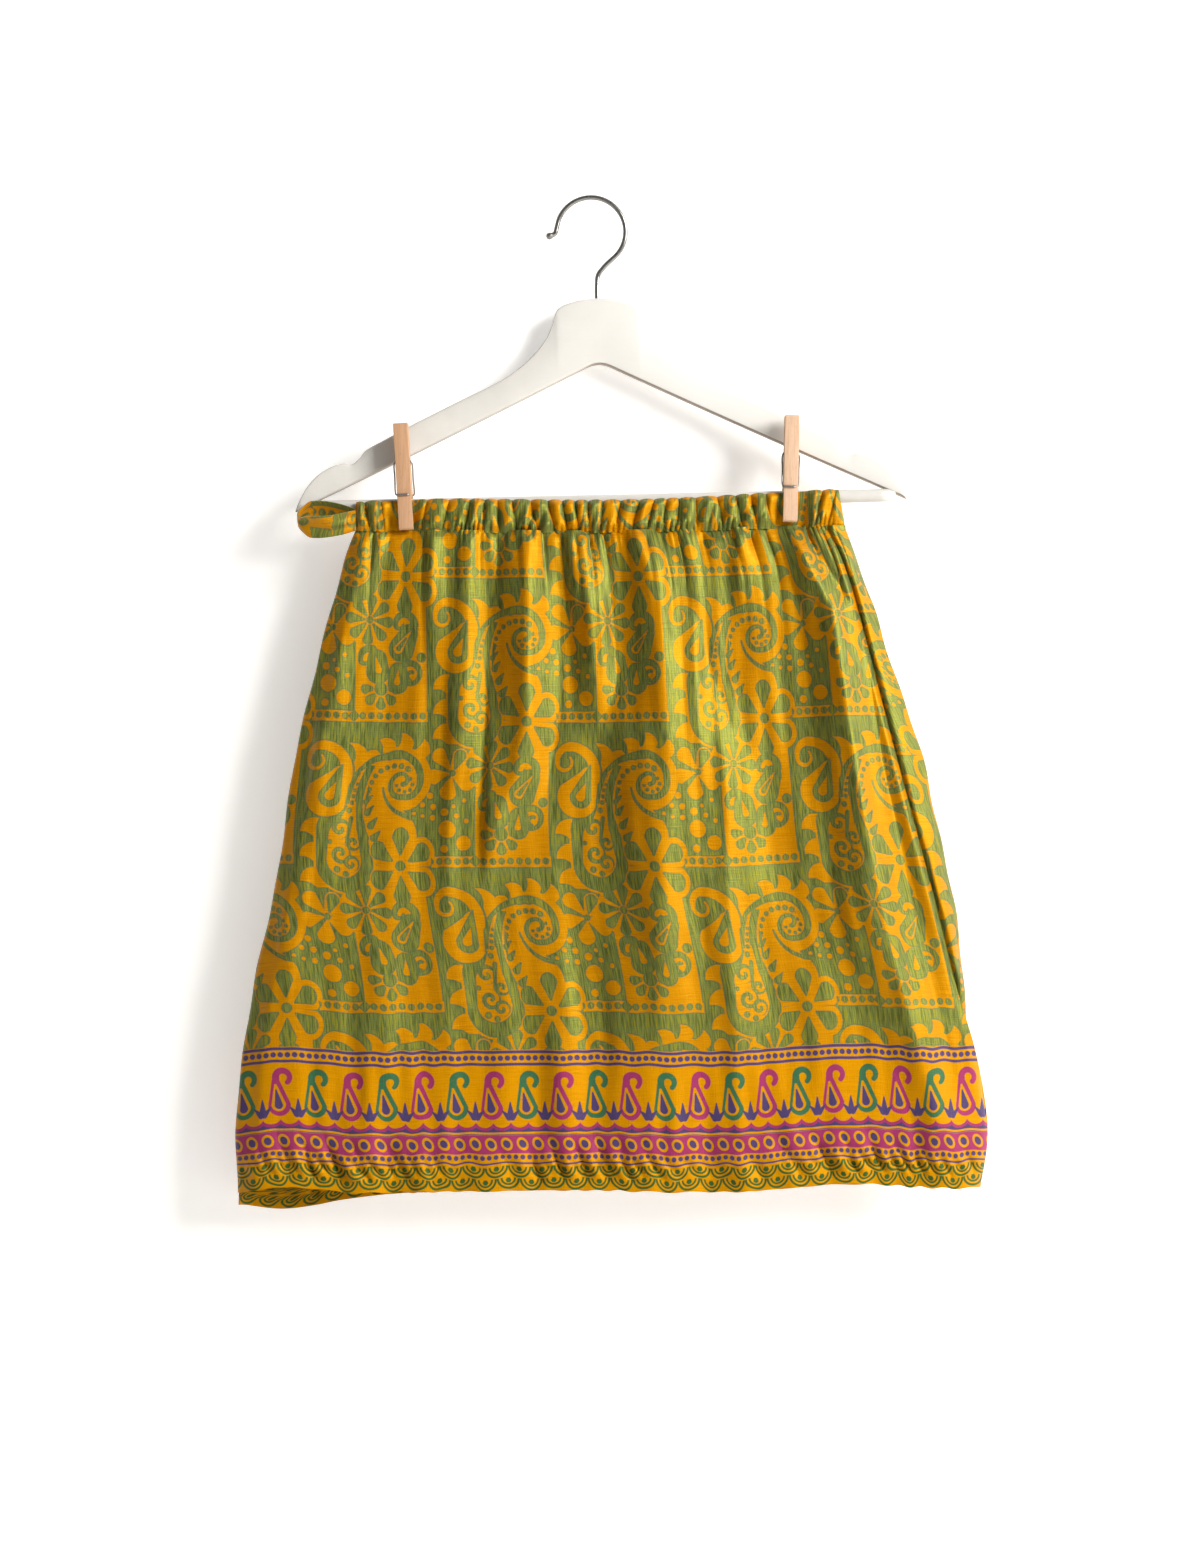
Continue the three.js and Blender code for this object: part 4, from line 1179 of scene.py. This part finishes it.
def tube(rings):
    """Points and faces of rings of places joined one after another, with fan caps."""
    count = len(rings[0])
    points = [p for ring in rings for p in ring]
    faces = []
    for i in range(len(rings) - 1):
        for j in range(count):
            a, b = i * count + j, i * count + (j + 1) % count
            faces.append((a, b, b + count, a + count))
    for ring, order in ((0, -1), (len(rings) - 1, 1)):
        middle = len(points)
        points.append(sum((Vector(p) for p in rings[ring]), Vector()) / count)
        for j in range(count):
            a, b = ring * count + j, ring * count + (j + 1) % count
            faces.append((a, b, middle)[::order])
    return points, faces


def smooth_line(points, steps):
    """Catmull-Rom curve through places, with steps between each two."""
    points = [Vector(p) for p in points]
    ends = [2 * points[0] - points[1], *points, 2 * points[-1] - points[-2]]
    line = []
    for a, b, c, d in zip(ends, ends[1:], ends[2:], ends[3:]):
        times = [0.0]
        for p, q in ((a, b), (b, c), (c, d)):
            times.append(times[-1] + max((q - p).length, 1e-6) ** 0.5)
        for k in range(steps):
            t = blend(times[1], times[2], k / steps)
            a1 = a.lerp(b, (t - times[0]) / (times[1] - times[0]))
            a2 = b.lerp(c, (t - times[1]) / (times[2] - times[1]))
            a3 = c.lerp(d, (t - times[2]) / (times[3] - times[2]))
            b1 = a1.lerp(a2, (t - times[0]) / (times[2] - times[0]))
            b2 = a2.lerp(a3, (t - times[1]) / (times[3] - times[1]))
            line.append(b1.lerp(b2, (t - times[1]) / (times[2] - times[1])))
    line.append(points[-1])
    return line


def round_wire(line, radius, facets=16):
    """Rings round a line, each turned only as far as the line turns. radius may vary along it."""
    rings, across = [], None
    for i, place in enumerate(line):
        ahead = (line[min(i + 1, len(line) - 1)] - line[max(i - 1, 0)]).normalized()
        if across is None:
            across = ahead.cross(Vector((0.3, 1, 0.2))).normalized()
        across = (across - across.dot(ahead) * ahead).normalized()
        other = ahead.cross(across)
        r = radius(i / (len(line) - 1)) if callable(radius) else radius
        turns = full_turn(facets)
        rings.append([place + r * (math.cos(a) * across + math.sin(a) * other) for a in turns])
    return rings


def hanger_to_frame(place):
    """From the neck's own frame to the object's."""
    return Matrix.Rotation(-HANGER_ROLL, 3, "Y") @ Vector(place) + NECK


END_ROUNDING = 5  # stretch over which an arm's end narrows
BAR_REACH, BAR_SET_IN = 216, 2.2  # the bar's longest half, and how far its ends go into the arms


def hanger_wood(material):
    """The arms: a rounded slab with a hollowed shoulder, a strap notch and swept-forward ends."""
    stretches = (0, 60, 44), (60, 165, 30), (165, 224.9, 60)  # from, to, number of stations
    stations = np.unique(np.concatenate([np.linspace(*stretch) for stretch in stretches]))
    stations = np.concatenate([-stations[::-1], stations[1:]])
    rings = []
    half = HANGER_THICKNESS / 2
    for x in stations:
        out = abs(x)
        top = float(column(HANGER_EDGE, HANGER_EDGE_COLUMNS, "top", out))
        bottom = -APEX_DROP - ARM_SLOPE * out
        # The inner corner under the neck is eased.
        bottom -= 2.2 * max(0.0, 1 - out / 9) ** 2
        radius = min(EDGE_ROUND, (top - bottom) / 3)
        end = max(0.0, (out - (HANGER_HALF_SPAN - END_ROUNDING)) / END_ROUNDING)
        narrow = half * math.sqrt(max(0.02, 1 - 0.9 * end**2.4))
        radius = min(radius, narrow * 0.9)
        y0 = -ARM_SWEEP * (out / HANGER_HALF_SPAN) ** 2
        ring = []
        for corner, (sy, sz) in enumerate(((-1, -1), (1, -1), (1, 1), (-1, 1))):
            y1 = y0 + sy * (narrow - radius)
            z1 = (bottom + radius) if sz < 0 else (top - radius)
            for k in range(5):
                a = math.pi / 2 * (corner + 2 + k / 4)
                ring.append(hanger_to_frame((x, y1 + radius * math.cos(a), z1 + radius * math.sin(a))))
        rings.append(ring)
    return new_mesh("hanger_arms", *tube(rings), [material])


def hanger_bar(material):
    """The round bar, its ends cut along the arms' lower edges."""
    rings = []
    for t in np.linspace(-1, 1, 41):
        ring = []
        for a in full_turn(28):
            z = -BAR_DROP + BAR_RADIUS * math.sin(a)
            reach = min(BAR_REACH, (-z - APEX_DROP) / ARM_SLOPE + BAR_SET_IN)
            ring.append(hanger_to_frame((t * reach, BAR_Y + BAR_RADIUS * math.cos(a), z)))
        rings.append(ring)
    return new_mesh("hanger_bar_round", *tube(rings), [material])


def hook(material):
    """The steel hook: a stem in the neck, a round bow and a slightly flared, rounded tip."""
    centre = Vector((0, 0, -HOOK_RADIUS + WIRE_RADIUS))
    stem = (0, GAP - STEM_DEPTH), (0, -STEM_DEPTH / 2), (0, 1), (0, 10), (0.8, 17.5), (5.5, 24)
    points = [(NECK.x + x, 0, NECK.z + z) for x, z in stem]
    for degrees in range(-38, 173, 15):
        a = math.radians(degrees)
        points.append(centre + HOOK_RADIUS * Vector((math.cos(a), 0, math.sin(a))))
    points.append((-HOOK_RADIUS - 1.2, 0, centre.z - 1.2))
    points.append((-HOOK_RADIUS - 5.5, 0, centre.z - 3.2))
    line = smooth_line(points, 8)
    rings = round_wire(line, lambda t: WIRE_RADIUS + 0.85 * float(soft(0.965, 1.0, t)), 18)
    # Round off the tip.
    tip, ahead = line[-1], (line[-1] - line[-2]).normalized()
    last = rings[-1]
    for k in range(1, 6):
        a = math.radians(90 * k / 6)
        rings.append([tip + (Vector(p) - tip) * math.cos(a) + ahead * 2.4 * math.sin(a) for p in last])
    return new_mesh("hook_wire", *tube(rings), [material])


def smoothed_copy(node, name, material, bevel):
    """The CAD node's own form, with its flat facets joined and its edges rounded."""
    mesh = node.data.copy()
    obj = linked(name, mesh)
    form = bmesh.new()
    form.from_mesh(mesh)
    bmesh.ops.remove_doubles(form, verts=form.verts, dist=1e-5)
    bmesh.ops.dissolve_limit(form, angle_limit=math.radians(2), verts=form.verts, edges=form.edges)
    edges = [e for e in form.edges if len(e.link_faces) == 2 and e.calc_face_angle() > math.radians(25)]
    rounded = {"offset": bevel * MM, "segments": 3, "profile": 0.6, "affect": "EDGES"}
    bmesh.ops.bevel(form, geom=edges, clamp_overlap=True, **rounded)
    bmesh.ops.triangulate(form, faces=[f for f in form.faces if len(f.verts) > 4])
    form.to_mesh(mesh)
    form.free()
    mesh.materials.clear()
    mesh.materials.append(material)
    mesh.polygons.foreach_set("use_smooth", [True] * len(mesh.polygons))
    mesh.polygons.foreach_set("material_index", [0] * len(mesh.polygons))
    mesh.set_sharp_from_angle(angle=math.radians(34))
    return obj


def peg_spring(index, material):
    """The peg's spring, on the same line as in the CAD, round and smooth."""
    opening, lean = math.radians(6), math.radians(3)
    width, coil_radius, wire_radius, turns, coil_half = 10.5, 2.9, 0.6, 3.5, 3.3
    above = 31.4
    side_x = width / 2 + GAP + wire_radius + 0.2

    def arm(side):
        # Across, away from the other arm, height.
        rows = (
            (coil_half + 1.6, 2.8, 0.6), (side_x, 3, -1.5), (side_x, 4.4, -12), (side_x, 6.9, -23),
            (side_x - 0.6, 7.9, -25), (side_x - 3, 8.2, -25.2), (-3.6, 8.2, -25.2),
        )
        places = []
        for x, away, height in rows:
            y = away * math.cos(opening) - height * math.sin(opening)
            z = away * math.sin(opening) + height * math.cos(opening)
            places.append(Vector((x * side, y * side, z)))
        return places

    coil = []
    for i in range(int(turns * 12) + 1):
        a = 2 * math.pi * i / 12
        x = blend(-coil_half, coil_half, i / (turns * 12))
        coil.append(Vector((x, -coil_radius * math.cos(a), coil_radius * math.sin(a))))
    line = smooth_line([*reversed(arm(-1)), *coil, *arm(1)], 4)
    x = PEG_X[index]
    tilt = math.radians(PEG_TILT[index])
    place = Vector((x, BAR_Y - 2.4 - above * math.sin(lean), float(bar_height(x)) + above))
    turn = Matrix.Rotation(lean, 3, "X") @ Matrix.Rotation(tilt, 3, "Y")
    rings = round_wire([turn @ p + place for p in line], wire_radius, 10)
    return new_mesh(f"peg_{PEG_SIDES[index]}_coil", *tube(rings), [material])


# ---------------------------------------------------------------- build

field = silk_material("printed_silk_field", field_colour)
border = silk_material("printed_silk_border", border_band)
# The arms' paint carries painted light to the right and painted shade under the right arm.
white_paint = painted_wood("white_paint", True)
bar_paint = painted_wood("bar_paint", False)
steel = steel_material()
peg_wood = (
    peg_material("peg_wood_dark", (0.52, 0.30, 0.165, 1), (0.42, 0.225, 0.115, 1)),
    peg_material("peg_wood_light", (0.62, 0.42, 0.28, 1), (0.50, 0.31, 0.19, 1)),
)


def panel(name, surface, threads, length, columns, rows):
    """A printed panel, with its border on the lowest rows."""
    places, border_row = row_places(rows, 1 - BORDER_HEIGHT / length)
    return cloth(name, surface, threads, np.linspace(0, 1, columns), places, [field, border], border_row)


def casing_side(name, base_y, fullness, outermost, tucked, columns, rows):
    surface = waistband(base_y, fullness, outermost, tucked)
    return cloth(name, surface, band_threads, np.linspace(0, 1, columns), rows, [field])


front = panel("skirt_front", front_panel, front_threads, FRONT_LENGTH, 331, 150)
back = panel("skirt_back", back_panel, back_threads, BACK_LENGTH, 341, 110)
band_rows = np.concatenate(
    [np.linspace(0, 0.3, 10)[:-1], np.linspace(0.3, 0.62, 6)[:-1], np.linspace(0.62, 1, 16)]
)
casing = casing_side("casing_front", BACK_BAND_Y - BAND_SPACING, 5.8, 0.0, 1.0, 520, band_rows)
casing_back = casing_side("casing_back", BACK_BAND_Y, 0.2, 1.5, 0.0, 240, band_rows[::2])
loop = cloth("tie", tie_loop, tie_threads, np.linspace(0, 1, 160), np.linspace(0, 1, 20), [field])

arms = hanger_wood(white_paint)
bar = hanger_bar(bar_paint)
wire = hook(steel)
pieces = []
for index, side in enumerate(PEG_SIDES):
    for face in ("front", "back"):
        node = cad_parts[f"peg_{side}_{face}_leg"]
        leg = smoothed_copy(node, f"peg_{side}_{face}", peg_wood[index], PEG_BEVEL)
        pieces.append((leg, node.name))
    pieces.append((peg_spring(index, steel), f"peg_{side}_spring"))

pieces += [
    (front, "front_panel"), (back, "back_panel"), (casing, "waistband_front"),
    (casing_back, "waistband_back"), (loop, "tie_loop"), (arms, "hanger_wood"), (bar, "hanger_bar"),
    (wire, "hook"),
]
for obj, node in pieces:
    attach(obj, "root")
    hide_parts(node)

# ---------------------------------------------------------------- wall, floor, light and camera

WALL_Y = 13.5
FLOOR_Z = -1100
WALL_TOP, WALL_REACH = 2300, 2600
FLOOR_REACH, FLOOR_FRONT, FLOOR_BACK = 3500, -4500, 3500


def stage_plane(name, points, material):
    new_mesh(name, points, [(0, 1, 2, 3)], [material], smooth=False)


def wall_material():
    """A pale wall with a faint glow of its own, and nothing on its far side, so the back is seen."""
    net = Net("plain_wall")
    tone = net.mix(net.noise(net.own_place(), 3.0), (0.93, 0.915, 0.895, 1), (0.96, 0.95, 0.935, 1))
    lit = net.node("ShaderNodeBsdfDiffuse", (("Color", tone),))
    glow = net.node("ShaderNodeEmission", (("Color", tone), ("Strength", 0.33)))
    face = net.node("ShaderNodeAddShader", ((0, lit.outputs[0]), (1, glow.outputs[0])))
    clear = net.node("ShaderNodeBsdfTransparent")
    far_side = net.node("ShaderNodeNewGeometry").outputs["Backfacing"]
    inputs = ((0, far_side), (1, face.outputs[0]), (2, clear.outputs[0]))
    return net.output(net.node("ShaderNodeMixShader", inputs))


def floor_material():
    net = Net("plain_floor")
    tone = net.mix(net.noise(net.own_place(), 2.0), (0.78, 0.77, 0.75, 1), (0.84, 0.83, 0.81, 1))
    return net.output(net.node("ShaderNodeBsdfDiffuse", (("Color", tone),)))


def area_light(name, place, target, size, power, colour):
    light = bpy.data.lights.new(name, "AREA")
    light.shape = "RECTANGLE"
    light.size, light.size_y = size
    light.energy = power
    light.color = colour
    obj = linked(name, light)
    obj.location = place
    obj.rotation_euler = (Vector(target) - Vector(place)).to_track_quat("-Z", "Y").to_euler()


def corners(reach, low, high):
    return (-reach, low), (reach, low), (reach, high), (-reach, high)


wall_corners = [(x, WALL_Y, z) for x, z in corners(WALL_REACH, FLOOR_Z, WALL_TOP)]
stage_plane("wall", wall_corners, wall_material())
floor_corners = [(x, y, FLOOR_Z) for x, y in corners(FLOOR_REACH, FLOOR_FRONT, FLOOR_BACK)]
stage_plane("floor", floor_corners, floor_material())

area_light("key", (2.2, -1.6, 0.75), (0, 0, -0.42), (1.4, 1.4), 148, (1, 0.99, 0.97))
area_light("fill", (-1.6, -2.6, 0.2), (0, 0, -0.45), (2.2, 2.2), 3.0, (0.97, 0.98, 1))

world = bpy.data.worlds.new("studio")
bpy.context.scene.world = world
world.use_nodes = True
sky = world.node_tree.nodes["Background"].inputs
sky[0].default_value = (1, 0.99, 0.98, 1)
sky[1].default_value = 0.2

# The camera stands straight in front, level with the upper half of the skirt.
camera_data = bpy.data.cameras.new("camera")
camera_data.sensor_fit = "VERTICAL"
camera_data.sensor_height = 36
camera_data.lens = 68.9
camera = linked("camera", camera_data)
camera.location = (0.0067, -2.222, -0.432)
camera.rotation_euler = (math.radians(90), 0, 0)
bpy.context.scene.camera = camera
bpy.context.scene.view_settings.view_transform = "Standard"

bpy.context.view_layer.update()
